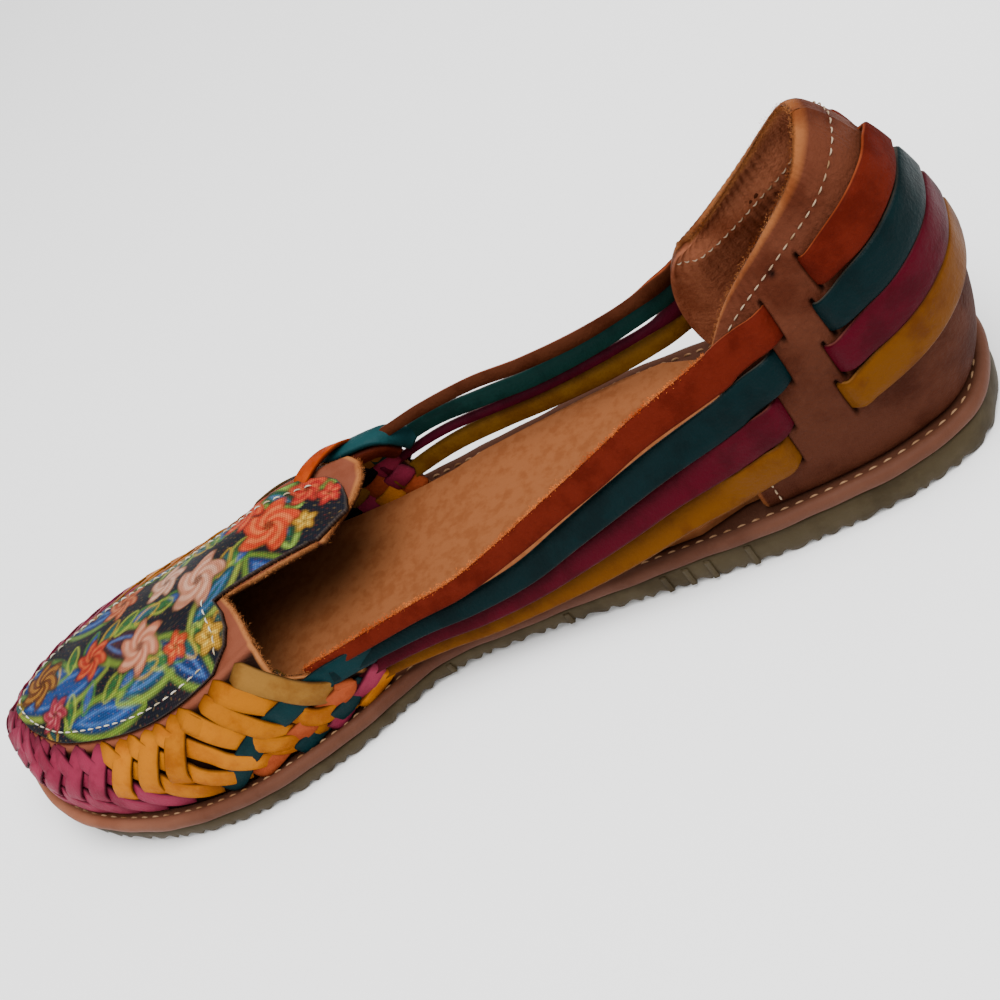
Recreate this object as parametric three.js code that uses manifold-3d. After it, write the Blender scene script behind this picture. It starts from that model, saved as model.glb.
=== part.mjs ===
// A right-foot huarache sandal with a woven toe, four heel straps and a stitched leather sole.
// Millimetres, +X towards the toe, +Y towards the inner side of the foot, +Z up.
// The sole stands on z = 0, and the middle of the whole shoe is over the origin.

import * as THREE from "three";
import Module from "manifold-3d";

// Driving dimensions
const SOLE_LENGTH = 247;
const HEEL_WIDTH = 57.7;
const WAIST_WIDTH = 58.3;
const BALL_WIDTH = 78.7;
const TOE_OFFSET = 3; // the tip of the toe lies this far to the inner side of the heel's middle
const TOE_SPRING = 7.4;
const ARCH_LIFT = 1.5;
const OUTSOLE_FOREPART = 4.7;
const OUTSOLE_HEEL = 7.9;
const LUG_PITCH = 6;
const LUG_GAP = 2;
const LUG_DEPTH = 1.3;
const SIDE_RIB = 0.9;
const RIM_HEIGHT = 3.6;
const RIM_WIDTH = 3.2;
const CHANNEL_DEPTH = 0.9;
const INSOLE_THICKNESS = 2.6;
const VAMP_HEIGHT = 37.2; // top of the vamp over the floor, at the throat's inner corner
const VAMP_WALL = 2;
const VAMP_INSET = 3.7; // from the sole's edge to the foot of the vamp
const STRIP_PITCH = 9.4;
const STRIP_RELIEF = 0.9;
const APRON_THICKNESS = 1.2;
const APRON_STEP = 0.5; // the apron's face over the vamp round it
const COUNTER_HEIGHT = 76.3;
const COUNTER_WALL = 2.4;
const COUNTER_INSET = 4.9;
const COUNTER_INSET_BACK = 3.6;
const STRAP_WIDTH = 6.2; // at the back of the heel
const STRAP_THICKNESS = 1.5;
const TILT_INNER = 37; // degrees, how far the free straps lean inwards at the top
const TILT_OUTER = -23;
const SLOT_BEND = 3.2; // length over which a strap dives through the counter
const GAP = 0.3;

// The sole's outline: each half width is a share of the width named in its row.
const OUTLINE = [
  { along: 0.024, width: HEEL_WIDTH, inner: 0.326, outer: 0.295 },
  { along: 0.081, width: HEEL_WIDTH, inner: 0.451, outer: 0.451 },
  { along: 0.182, width: HEEL_WIDTH, inner: 0.497, outer: 0.503 },
  { along: 0.304, width: WAIST_WIDTH, inner: 0.465, outer: 0.571 },
  { along: 0.425, width: WAIST_WIDTH, inner: 0.437, outer: 0.563 },
  { along: 0.526, width: WAIST_WIDTH, inner: 0.441, outer: 0.556 },
  { along: 0.628, width: BALL_WIDTH, inner: 0.461, outer: 0.423 },
  { along: 0.729, width: BALL_WIDTH, inner: 0.537, outer: 0.463 },
  { along: 0.83, width: BALL_WIDTH, inner: 0.516, outer: 0.431 },
  { along: 0.923, width: BALL_WIDTH, inner: 0.4, outer: 0.318 },
  { along: 0.976, width: BALL_WIDTH, inner: 0.215, outer: 0.155 },
];

// The ridge of the vamp from throat to toe: sideways as a share of the ball width, up as a share
// of the vamp's height.
const RIDGE = [
  { along: 0.52, side: 0.038, up: 0.887 },
  { along: 0.585, side: 0.044, up: 0.93 },
  { along: 0.67, side: 0.051, up: 1 },
  { along: 0.78, side: 0.051, up: 0.898 },
  { along: 0.86, side: 0.057, up: 0.817 },
  { along: 0.915, side: 0.064, up: 0.747 },
];

// How square the vamp's cross section is, and how far its wall leans out over its foot, in shares
// of the wall inset, on each side.
const FULLNESS = [
  { along: 0.52, innerPower: 3, outerPower: 6, innerBulge: 1.1, outerBulge: 0.3 },
  { along: 0.6, innerPower: 2.9, outerPower: 4.4, innerBulge: 0.8, outerBulge: 0.3 },
  { along: 0.68, innerPower: 2.45, outerPower: 2, innerBulge: 0.15, outerBulge: 0.1 },
  { along: 0.9, innerPower: 2.45, outerPower: 2, innerBulge: 0.1, outerBulge: 0.1 },
  { along: 1, innerPower: 2.45, outerPower: 2.2, innerBulge: 0.55, outerBulge: 0.4 },
];

// The free rear edge of the vamp: how far back it reaches at each share of the way up its section.
const THROAT = [
  { up: 0, inner: 0.562, outer: 0.524 },
  { up: 0.09, inner: 0.563, outer: 0.526 },
  { up: 0.18, inner: 0.568, outer: 0.528 },
  { up: 0.27, inner: 0.577, outer: 0.53 },
  { up: 0.355, inner: 0.604, outer: 0.532 },
  { up: 0.425, inner: 0.637, outer: 0.536 },
  { up: 0.49, inner: 0.64, outer: 0.542 },
  { up: 0.535, inner: 0.642, outer: 0.583 },
  { up: 0.57, inner: 0.643, outer: 0.583 },
  { up: 0.6, inner: 0.645, outer: 0.553 },
  { up: 0.64, inner: 0.648, outer: 0.541 },
  { up: 0.71, inner: 0.652, outer: 0.538 },
  { up: 0.8, inner: 0.66, outer: 0.544 },
  { up: 0.885, inner: 0.672, outer: 0.556 },
  { up: 0.905, inner: 0.634, outer: 0.56 },
  { up: 1, inner: 0.574, outer: 0.574 },
];

// The apron's lower edge on the vamp, by the place round the sole's outline.
const APRON_EDGE = [
  { round: 0.3, up: 0.62 },
  { round: 0.325, up: 0.55 },
  { round: 0.358, up: 0.527 },
  { round: 0.398, up: 0.579 },
  { round: 0.425, up: 0.632 },
  { round: 0.468, up: 0.63 },
  { round: 0.5, up: 0.6 },
  { round: 0.56, up: 0.62 },
  { round: 0.64, up: 0.63 },
  { round: 0.72, up: 0.64 },
];

// The apron's rear edge, by the share of the way from its lower edge to the ridge.
const APRON_REAR = [
  { up: 0, inner: 0.69, outer: 0.61 },
  { up: 0.14, inner: 0.671, outer: 0.58 },
  { up: 0.3, inner: 0.667, outer: 0.565 },
  { up: 0.5, inner: 0.67, outer: 0.56 },
  { up: 0.7, inner: 0.679, outer: 0.563 },
  { up: 0.76, inner: 0.645, outer: 0.566 },
  { up: 1, inner: 0.58, outer: 0.58 },
];

// The counter's top line from the middle of the back to its front corner, in shares of the sole's
// length, the heel's width and the counter's height, and how far its wall swells out half way up.
const TOPLINE = [
  { round: 0, along: 0.053, side: 0, up: 1, backInner: 9.6, backOuter: 9.6, swell: 0 },
  { round: 0.22, along: 0.059, side: 0.104, up: 0.98, backInner: 9, backOuter: 9, swell: 2.5 },
  { round: 0.42, along: 0.075, side: 0.184, up: 0.925, backInner: 5.8, backOuter: 5.5, swell: 4.5 },
  { round: 0.62, along: 0.111, side: 0.205, up: 0.83, backInner: 2, backOuter: 1.5, swell: 5.5 },
  { round: 0.82, along: 0.154, side: 0.229, up: 0.722, backInner: -0.5, backOuter: -2.5, swell: 5.5 },
  { round: 1, along: 0.181, side: 0.295, up: 0.637, backInner: -1, backOuter: -6.5, swell: 4.5 },
];
const COUNTER_FRONT = 0.205; // where its foot ends, as a share of the sole's length
const SWELL_POWER = 0.6;

// The four straps, each one strip from the inner side of the vamp round the heel to the outer
// side. Heights of the free spans are shares of the counter's height, in the order of SPAN_INNER
// and SPAN_OUTER. Slots are given by the share round the counter and the share up it.
const SPAN_INNER = [0.255, 0.304, 0.348, 0.401, 0.457, 0.506];
const SPAN_OUTER = [0.255, 0.312, 0.372, 0.421, 0.478];
// How wide the straps are along the shoe, as shares of their width at the back.
const STRAP_WIDTHS = [
  { along: 0, inner: 1, outer: 1 },
  { along: 0.1, inner: 0.92, outer: 0.94 },
  { along: 0.155, inner: 0.92, outer: 0.88 },
  { along: 0.2, inner: 1.08, outer: 0.72 },
  { along: 0.3, inner: 1.12, outer: 0.84 },
  { along: 0.4, inner: 1, outer: 0.82 },
  { along: 0.5, inner: 0.8, outer: 0.72 },
  { along: 0.56, inner: 0.66, outer: 0.66 },
];
const STRAPS = [
  {
    name: "strap_top_rust",
    colour: 0xa8421a,
    inner: {
      span: [0.544, 0.488, 0.443, 0.388, 0.34, 0.33],
      edge: 0.97, front: [0.725, 0.806], rear: [0.573, 0.818], back: 0.777, end: 0.36,
    },
    outer: {
      span: [0.445, 0.402, 0.396, 0.403, 0.395],
      edge: 0.725, front: [0.74, 0.8], rear: [0.585, 0.82], back: 0.777, end: 0.47,
    },
  },
  {
    name: "strap_upper_teal",
    colour: 0x0f4f52,
    inner: {
      span: [0.449, 0.4, 0.353, 0.296, 0.272, 0.272],
      edge: 0.745, front: [0.767, 0.665], rear: [0.615, 0.68], back: 0.66, end: 0.28,
    },
    outer: {
      span: [0.376, 0.33, 0.319, 0.322, 0.319],
      edge: 0.572, front: [0.775, 0.62], rear: [0.62, 0.67], back: 0.66, end: 0.36,
    },
  },
  {
    name: "strap_lower_magenta",
    colour: 0x8a2050,
    inner: {
      span: [0.361, 0.315, 0.276, 0.236, 0.216, 0.217],
      edge: 0.54, front: [0.824, 0.505], rear: [0.655, 0.538], back: 0.55, end: 0.19,
    },
    outer: {
      span: [0.312, 0.276, 0.265, 0.265, 0.26],
      edge: 0.428, front: [0.825, 0.43], rear: [0.655, 0.525], back: 0.55, end: 0.27,
    },
  },
  {
    name: "strap_bottom_ochre",
    colour: 0xb57c14,
    inner: {
      span: [0.272, 0.231, 0.202, 0.178, 0.162, 0.163],
      edge: 0.325, front: [0.855, 0.33], rear: [0.683, 0.385], back: 0.44, end: 0.1,
    },
    outer: {
      span: [0.249, 0.214, 0.206, 0.205, 0.196],
      edge: 0.28, front: [0.86, 0.245], rear: [0.69, 0.365], back: 0.44, end: 0.16,
    },
  },
];
const BACK_SLOT = 0.06; // where a strap dives behind the middle tab, as a share round the counter

// How finely the curved pieces are divided
const RING_STEPS = 72;
const VAMP_STEPS = 60;
const APRON_STEPS = 36;
const APRON_ROWS = 7;
const COUNTER_STEPS = 26;
const COUNTER_ROWS = 7;

const wasm = await Module();
wasm.setup();

// Small helpers

const clamp01 = (v) => Math.min(1, Math.max(0, v));
const smooth = (v) => clamp01(v) ** 2 * (3 - 2 * clamp01(v));
const mix = (a, b, k) => a + (b - a) * k;

// The value of one column of a table at key x, by a smooth curve through its rows.
function lookUp(table, key, column, x) {
  const last = table.length - 1;
  let i = 0;
  while (i < last - 1 && x > table[i + 1][key]) i += 1;
  const slope = (j) => {
    const a = table[Math.max(0, j - 1)];
    const b = table[Math.min(last, j + 1)];
    return (b[column] - a[column]) / (b[key] - a[key]);
  };
  const [a, b] = [table[i], table[i + 1]];
  const h = b[key] - a[key];
  const t = clamp01((x - a[key]) / h);
  return (
    (2 * t ** 3 - 3 * t ** 2 + 1) * a[column] +
    (t ** 3 - 2 * t ** 2 + t) * h * slope(i) +
    (3 * t ** 2 - 2 * t ** 3) * b[column] +
    (t ** 3 - t ** 2) * h * slope(i + 1)
  );
}

// The same by straight lines, for edges with sharp corners.
function lookUpStraight(table, key, column, x) {
  let i = 0;
  while (i < table.length - 2 && x > table[i + 1][key]) i += 1;
  const [a, b] = [table[i], table[i + 1]];
  return mix(a[column], b[column], clamp01((x - a[key]) / (b[key] - a[key])));
}

// A closed body from a list of corner triples and a list of triangles.
function solidFrom(points, triangles) {
  const vertProperties = new Float32Array(points.flatMap((p) => [p.x, p.y, p.z]));
  const mesh = new wasm.Mesh({ numProp: 3, vertProperties, triVerts: new Uint32Array(triangles) });
  return new wasm.Manifold(mesh);
}

// A named mesh from a manifold solid.
function meshFrom(name, solid, material) {
  const { vertProperties, triVerts } = solid.getMesh();
  const geometry = new THREE.BufferGeometry();
  geometry.setAttribute("position", new THREE.BufferAttribute(new Float32Array(vertProperties), 3));
  geometry.setIndex(new THREE.BufferAttribute(new Uint32Array(triVerts), 1));
  geometry.computeVertexNormals();
  const mesh = new THREE.Mesh(geometry, material);
  mesh.name = name;
  return mesh;
}

// A manifold solid from a three.js geometry.
function solidOfGeometry(geometry) {
  const flat = geometry.index ? geometry.toNonIndexed() : geometry;
  const source = flat.attributes.position;
  const seen = new Map();
  const points = [];
  const triangles = [];
  for (let i = 0; i < source.count; i += 1) {
    const p = new THREE.Vector3().fromBufferAttribute(source, i);
    const key = p.toArray().map((v) => v.toFixed(4)).join();
    if (!seen.has(key)) {
      seen.set(key, points.length);
      points.push(p);
    }
    triangles.push(seen.get(key));
  }
  const kept = [];
  for (let i = 0; i < triangles.length; i += 3) {
    const [a, b, c] = triangles.slice(i, i + 3);
    if (a !== b && b !== c && c !== a) kept.push(a, b, c);
  }
  return solidFrom(points, kept);
}

// The sole's outline and levels

const outlinePoints = [
  new THREE.Vector3(0, 0, 0),
  ...OUTLINE.map((r) => new THREE.Vector3(r.along * SOLE_LENGTH, r.inner * r.width, 0)),
  new THREE.Vector3(SOLE_LENGTH, TOE_OFFSET, 0),
  ...OUTLINE.toReversed().map(
    (r) => new THREE.Vector3(r.along * SOLE_LENGTH, -r.outer * r.width, 0),
  ),
];
const outline = new THREE.CatmullRomCurve3(outlinePoints, true, "centripetal");

// The outward direction at a place round the outline: 0 is the back, 0.5 the tip of the toe, and
// the inner side comes first.
function outwardAt(round) {
  const step = 1e-4;
  const ahead = outline.getPoint((round + step) % 1);
  const tangent = ahead.sub(outline.getPoint((round - step + 1) % 1)).normalize();
  return new THREE.Vector3(-tangent.y, tangent.x, 0);
}

function rimPoint(round, inset) {
  return outline.getPoint(round % 1).addScaledVector(outwardAt(round), -inset);
}

const springAt = (x) => TOE_SPRING * Math.max(0, (x / SOLE_LENGTH - 0.75) / 0.25) ** 2;
const groundAt = (x) =>
  springAt(x) + ARCH_LIFT * Math.exp(-(((x / SOLE_LENGTH - 0.425) / 0.113) ** 2));
const outsoleTop = (x) =>
  springAt(x) + mix(OUTSOLE_FOREPART, OUTSOLE_HEEL, clamp01((0.567 - x / SOLE_LENGTH) / 0.364));
const channelFloor = (x) => outsoleTop(x) + RIM_HEIGHT - CHANNEL_DEPTH;
const seatAt = (x) => channelFloor(x) + GAP;
const insoleTop = (x) => seatAt(x) + INSOLE_THICKNESS;

// The place round the outline where it reaches x on the inner or outer side.
function roundAt(x, side) {
  let [low, high] = [0.01, 0.49];
  for (let i = 0; i < 30; i += 1) {
    const middle = (low + high) / 2;
    const here = outline.getPoint(side > 0 ? middle : 1 - middle).x;
    if (here < x) low = middle;
    else high = middle;
  }
  return side > 0 ? low : 1 - low;
}

// A plate that fills the outline, from a list of rings from the bottom up. Each ring has an inset
// and a level, which may both change with the place along the sole.
function plate(rings) {
  const points = [];
  rings.forEach((ring) => {
    for (let k = 0; k < RING_STEPS; k += 1) {
      const round = k / RING_STEPS;
      const edge = rimPoint(round, 0);
      const p = rimPoint(round, ring.inset(edge.x));
      points.push(p.setZ(ring.level(p.x)));
    }
  });
  const triangles = [];
  for (let r = 0; r < rings.length - 1; r += 1) {
    for (let k = 0; k < RING_STEPS; k += 1) {
      const next = (k + 1) % RING_STEPS;
      const [a, b] = [r * RING_STEPS + k, r * RING_STEPS + next];
      const [c, d] = [a + RING_STEPS, b + RING_STEPS];
      triangles.push(a, c, b, b, c, d);
    }
  }
  const lid = (r, up) => {
    const at = (k) => r * RING_STEPS + (k % RING_STEPS);
    const add = (a, b, c) => triangles.push(...(up ? [a, b, c] : [a, c, b]));
    const half = RING_STEPS / 2;
    for (let k = 0; k < half; k += 1) {
      const [near, nearNext] = [at(k), at(k + 1)];
      const [far, farNext] = [at(RING_STEPS - k), at(RING_STEPS - k - 1)];
      if (k > 0) add(near, far, nearNext);
      if (k < half - 1) add(nearNext, far, farNext);
    }
  };
  lid(0, false);
  lid(rings.length - 1, true);
  return solidFrom(points, triangles);
}

// Outsole: a rubber slab with a lugged underside and three ribs on its inner side

function makeOutsole() {
  const slab = plate([
    { inset: () => 2.2, level: groundAt },
    { inset: () => 1, level: (x) => groundAt(x) + 0.8 },
    { inset: () => 0.7, level: outsoleTop },
  ]);
  const groove = new THREE.Shape();
  groove.moveTo(-LUG_GAP / 2, -LUG_DEPTH);
  groove.lineTo(LUG_GAP / 2, -LUG_DEPTH);
  groove.lineTo(LUG_GAP / 4, LUG_DEPTH);
  groove.lineTo(-LUG_GAP / 4, LUG_DEPTH);
  groove.closePath();
  const bar = new THREE.ExtrudeGeometry(groove, { depth: 1.2 * BALL_WIDTH, bevelEnabled: false });
  bar.rotateX(Math.PI / 2);
  bar.translate(0, 0.6 * BALL_WIDTH, 0);
  let body = slab;
  const count = Math.floor(SOLE_LENGTH / LUG_PITCH) - 1;
  for (let i = 1; i <= count; i += 1) {
    const x = (i * SOLE_LENGTH) / (count + 1);
    const tilt = Math.atan2(groundAt(x + 1) - groundAt(x - 1), 2);
    const cutter = bar.clone().rotateY(-tilt).translate(x, 0, groundAt(x));
    body = body.subtract(solidOfGeometry(cutter));
  }
  for (const along of [0.27, 0.29, 0.31]) {
    const foot = rimPoint(roundAt(along * SOLE_LENGTH, 1), 1);
    const low = groundAt(foot.x) + 1;
    const height = outsoleTop(foot.x) - low - GAP;
    const rib = new THREE.CylinderGeometry(SIDE_RIB, SIDE_RIB, height, 8);
    rib.rotateX(Math.PI / 2).translate(foot.x, foot.y, low + height / 2);
    body = body.add(solidOfGeometry(rib));
  }
  return body;
}

// Midsole: a leather plate with a rounded rim and a sunk channel for the stitches

function makeMidsole() {
  const rim = (inset, share) => ({
    inset: () => inset * RIM_WIDTH,
    level: (x) => outsoleTop(x) + mix(GAP, RIM_HEIGHT, share),
  });
  return plate([
    rim(0.25, 0),
    rim(0.03, 0.2),
    rim(0, 0.55),
    rim(0.14, 0.85),
    rim(0.4, 1),
    rim(0.75, 0.93),
    { inset: () => RIM_WIDTH, level: channelFloor },
  ]);
}

// Insole: a leather footbed, wide at the waist and inside the uppers at heel and forefoot

function insoleInset(x) {
  const atHeel = COUNTER_INSET + COUNTER_WALL + 2 * GAP;
  const atWaist = RIM_WIDTH + 1.2;
  const atFront = VAMP_INSET + VAMP_WALL + 2 * GAP;
  const share = x / SOLE_LENGTH;
  const leavingHeel = smooth((share - COUNTER_FRONT - 0.01) / 0.05);
  const nearingFront = smooth((share - 0.45) / 0.06);
  return mix(mix(atHeel, atWaist, leavingHeel), atFront, nearingFront);
}

function makeInsole() {
  return plate([
    { inset: insoleInset, level: seatAt },
    { inset: insoleInset, level: (x) => insoleTop(x) - 0.8 },
    { inset: (x) => insoleInset(x) + 0.8, level: insoleTop },
  ]);
}

// A wall is a grid of places with an outer and an inner skin, closed round its edges. The wall's
// shape comes from a surface function of two numbers, and its skins lie off that surface.

// The outward normal of a surface at a place.
function normalOf(surface, u, v, step) {
  const du = surface(u + step, v).sub(surface(u - step, v));
  const low = Math.max(0, v - step);
  const high = Math.min(1, v + step);
  const dv = surface(u, high).sub(surface(u, low));
  return du.cross(dv).normalize();
}

function offsetPoint(surface, u, v, distance) {
  return surface(u, v).addScaledVector(normalOf(surface, u, v, 2e-3), distance);
}

// Vamp: the woven front of the shoe over the true shape of the last

const fanStart = 0.83 * SOLE_LENGTH;
const fanEnd = RIDGE.at(-1).along * SOLE_LENGTH;
const toeFoot = SOLE_LENGTH - VAMP_INSET;

// The ridge's place for a foot at x: straight across, and fanned round the toe.
function ridgePlace(x) {
  const k = clamp01((x - fanStart) / (toeFoot - fanStart));
  return x < fanStart ? x : fanStart + (fanEnd - fanStart) * (2 * k - k * k);
}

// A point of the vamp's surface: round the outline, and up from the foot (0) to the ridge (1).
function vampSurface(round, up) {
  const foot = rimPoint(round, VAMP_INSET);
  const outward = outwardAt(round);
  const share = clamp01(foot.x / SOLE_LENGTH);
  const ridgeShare = ridgePlace(foot.x) / SOLE_LENGTH;
  const ridge = new THREE.Vector3(
    ridgeShare * SOLE_LENGTH,
    lookUp(RIDGE, "along", "side", ridgeShare) * BALL_WIDTH,
    lookUp(RIDGE, "along", "up", ridgeShare) * VAMP_HEIGHT,
  );
  const inner = 0.5 + 0.5 * Math.tanh(2.5 * outward.y);
  const blend = (a, b) =>
    mix(lookUp(FULLNESS, "along", b, share), lookUp(FULLNESS, "along", a, share), inner);
  const power = blend("innerPower", "outerPower");
  const bulge = blend("innerBulge", "outerBulge") * VAMP_INSET;
  const angle = (clamp01(up) * Math.PI) / 2;
  const [c, s] = [Math.max(0, Math.cos(angle)), Math.sin(angle)];
  const reach = (c ** power + s ** power) ** (-1 / power);
  const across = 1 - reach * c;
  const point = new THREE.Vector3(
    mix(foot.x, ridge.x, across),
    mix(foot.y, ridge.y, across),
    mix(seatAt(foot.x), ridge.z, reach * s),
  );
  return point.addScaledVector(outward, bulge * Math.sin(Math.PI * clamp01(up / 0.75)));
}

// The apron's lower edge at a place round the outline.
const apronEdge = (round) => lookUp(APRON_EDGE, "round", "up", round);

const bedDepth = APRON_THICKNESS - APRON_STEP + 4 * GAP;

// How far the vamp's face stands out or is sunk: slanting strips round the toe, a chequered weave
// at the rear, and a bed for the apron.
function weaveRelief(round, up) {
  const edge = apronEdge(round) - 0.05;
  const share = up / edge;
  if (share >= 1) return -bedDepth * smooth((up - edge) / 0.05);
  const x = rimPoint(round, VAMP_INSET).x / SOLE_LENGTH;
  const length = 4 * Math.abs(round - 0.5) * 0.6 * SOLE_LENGTH;
  const height = share * 0.7 * VAMP_HEIGHT;
  const slant = Math.abs(Math.sin((Math.PI * (length - 0.5 * height)) / STRIP_PITCH));
  const squares =
    Math.sin((Math.PI * length) / STRIP_PITCH) * Math.sin((Math.PI * height) / (0.7 * STRIP_PITCH));
  const rear = smooth((0.68 - x) / 0.05);
  const ends = smooth(share / 0.1) * smooth((1 - share) / 0.12);
  return STRIP_RELIEF * ends * mix(slant, 0.5 + 0.5 * squares, rear);
}

// A wall that folds over the ridge: its columns run from the inner rear edge round the toe to the
// outer rear edge, and its top row is joined along the ridge.
function foldedWall({ steps, rows, upAt, rearAt, outerLift, innerLift }) {
  const half = steps / 2;
  const place = (column, row) => {
    const side = column <= half ? 1 : -1;
    const k = side > 0 ? column / half : (steps - column) / half;
    const rear = roundAt(rearAt(rows[row], side) * SOLE_LENGTH, side);
    const round = mix(rear, 0.5, k);
    return { round, up: upAt(round, rows[row]) };
  };
  const points = [];
  const index = new Map();
  const skins = [outerLift, innerLift];
  skins.forEach((lift, skin) => {
    for (let row = 0; row < rows.length; row += 1) {
      for (let column = 0; column <= steps; column += 1) {
        const onRidge = row === rows.length - 1;
        const twin = onRidge && column > half ? steps - column : column;
        const key = `${skin} ${row} ${twin}`;
        if (!index.has(key)) {
          const { round, up } = place(twin, row);
          index.set(key, points.length);
          const safe = Math.min(up, 0.995);
          const distance = lift(round, up);
          const base = vampSurface(round, up);
          const normal = onRidge
            ? new THREE.Vector3(0, 0, 1)
            : normalOf(vampSurface, round, safe, 2e-3).negate();
          points.push(base.addScaledVector(normal, distance));
        }
        index.set(`${skin} ${row} ${column}`, index.get(key));
      }
    }
  });
  const at = (skin, row, column) => index.get(`${skin} ${row} ${column}`);
  const triangles = [];
  const quad = (a, b, c, d) => {
    if (a !== b && b !== c && a !== c) triangles.push(a, b, c);
    if (a !== c && c !== d && a !== d) triangles.push(a, c, d);
  };
  const top = rows.length - 1;
  for (let row = 0; row < top; row += 1) {
    for (let column = 0; column < steps; column += 1) {
      const next = column + 1;
      quad(at(0, row, next), at(0, row, column), at(0, row + 1, column), at(0, row + 1, next));
      quad(at(1, row, column), at(1, row, next), at(1, row + 1, next), at(1, row + 1, column));
    }
    quad(at(0, row, 0), at(1, row, 0), at(1, row + 1, 0), at(0, row + 1, 0));
    quad(at(1, row, steps), at(0, row, steps), at(0, row + 1, steps), at(1, row + 1, steps));
  }
  for (let column = 0; column < steps; column += 1) {
    const next = column + 1;
    quad(at(0, 0, column), at(0, 0, next), at(1, 0, next), at(1, 0, column));
  }
  return solidFrom(points, triangles);
}

function makeVamp() {
  return foldedWall({
    steps: VAMP_STEPS,
    rows: THROAT.map((r) => r.up),
    upAt: (round, row) => row,
    rearAt: (row, side) => lookUpStraight(THROAT, "up", side > 0 ? "inner" : "outer", row),
    outerLift: weaveRelief,
    innerLift: (round, up) => Math.min(0, weaveRelief(round, up)) - VAMP_WALL,
  });
}

// Apron: the flat printed piece on top of the vamp

function makeApron() {
  const rows = Array.from({ length: APRON_ROWS + 1 }, (_, k) => k / APRON_ROWS);
  return foldedWall({
    steps: APRON_STEPS,
    rows,
    upAt: (round, row) => mix(apronEdge(round), 1, row),
    rearAt: (row, side) => lookUpStraight(APRON_REAR, "up", side > 0 ? "inner" : "outer", row),
    outerLift: () => APRON_STEP,
    innerLift: () => APRON_STEP - APRON_THICKNESS,
  });
}

// Counter: the leather heel cup, open in front and at the top

const counterEnd = { inner: 0, outer: 0 };
counterEnd.inner = roundAt(COUNTER_FRONT * SOLE_LENGTH, 1);
counterEnd.outer = 1 - roundAt(COUNTER_FRONT * SOLE_LENGTH, -1);

// A point of the counter's outer surface. Round is 0 at the middle of the back, 1 at the inner
// front edge and -1 at the outer one, and up runs from the foot to the top line.
function counterSurface(round, up) {
  const inner = round >= 0;
  const share = Math.abs(round);
  const end = inner ? counterEnd.inner : counterEnd.outer;
  const place = (1 + Math.sign(round) * end * share) % 1;
  const inset = mix(COUNTER_INSET_BACK, COUNTER_INSET, smooth(share / 0.35));
  const foot = rimPoint(place, inset);
  const side = (inner ? 1 : -1) * lookUp(TOPLINE, "round", "side", share) * HEEL_WIDTH;
  const back = lookUp(TOPLINE, "round", inner ? "backInner" : "backOuter", share);
  const swell = (inner ? 1 : -1) * lookUp(TOPLINE, "round", "swell", share);
  const belly = Math.sin(Math.PI * clamp01(up)) ** SWELL_POWER;
  return new THREE.Vector3(
    mix(foot.x, lookUp(TOPLINE, "round", "along", share) * SOLE_LENGTH, up) - back * belly,
    mix(foot.y, side, up) + swell * belly,
    mix(seatAt(foot.x), lookUp(TOPLINE, "round", "up", share) * COUNTER_HEIGHT, up),
  );
}

// The counter's surface moved along its outward normal.
function counterPoint(round, up, distance) {
  const u = Math.min(0.998, Math.max(-0.998, round));
  const v = Math.min(0.98, Math.max(0.02, up));
  const normal = normalOf(counterSurface, u, v, 2e-3).negate();
  return counterSurface(round, up).addScaledVector(normal, distance);
}

function makeCounterWall() {
  const points = [];
  const perRow = COUNTER_STEPS + 1;
  const perSkin = perRow * (COUNTER_ROWS + 1);
  for (const distance of [0, -COUNTER_WALL]) {
    for (let row = 0; row <= COUNTER_ROWS; row += 1) {
      for (let column = 0; column <= COUNTER_STEPS; column += 1) {
        const up = (row / COUNTER_ROWS) ** 1.15;
        const p = counterPoint((2 * column) / COUNTER_STEPS - 1, up, distance);
        if (row === 0) p.setZ(seatAt(p.x));
        points.push(p);
      }
    }
  }
  const at = (skin, row, column) => skin * perSkin + row * perRow + column;
  const triangles = [];
  const quad = (a, b, c, d) => triangles.push(a, b, c, a, c, d);
  for (let row = 0; row < COUNTER_ROWS; row += 1) {
    for (let column = 0; column < COUNTER_STEPS; column += 1) {
      const next = column + 1;
      quad(at(0, row, column), at(0, row + 1, column), at(0, row + 1, next), at(0, row, next));
      quad(at(1, row, column), at(1, row, next), at(1, row + 1, next), at(1, row + 1, column));
    }
    const end = COUNTER_STEPS;
    quad(at(0, row, 0), at(1, row, 0), at(1, row + 1, 0), at(0, row + 1, 0));
    quad(at(0, row, end), at(0, row + 1, end), at(1, row + 1, end), at(1, row, end));
  }
  for (let column = 0; column < COUNTER_STEPS; column += 1) {
    const next = column + 1;
    const top = COUNTER_ROWS;
    quad(at(0, 0, column), at(0, 0, next), at(1, 0, next), at(1, 0, column));
    quad(at(0, top, column), at(1, top, column), at(1, top, next), at(0, top, next));
  }
  return solidFrom(points, triangles);
}

// Straps: flat strips that follow a path of points, each with the direction of its width

const strapOut = 2.3 * GAP + STRAP_THICKNESS / 2; // over the counter
const strapIn = -COUNTER_WALL - 2.3 * GAP - STRAP_THICKNESS / 2; // behind it

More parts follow.
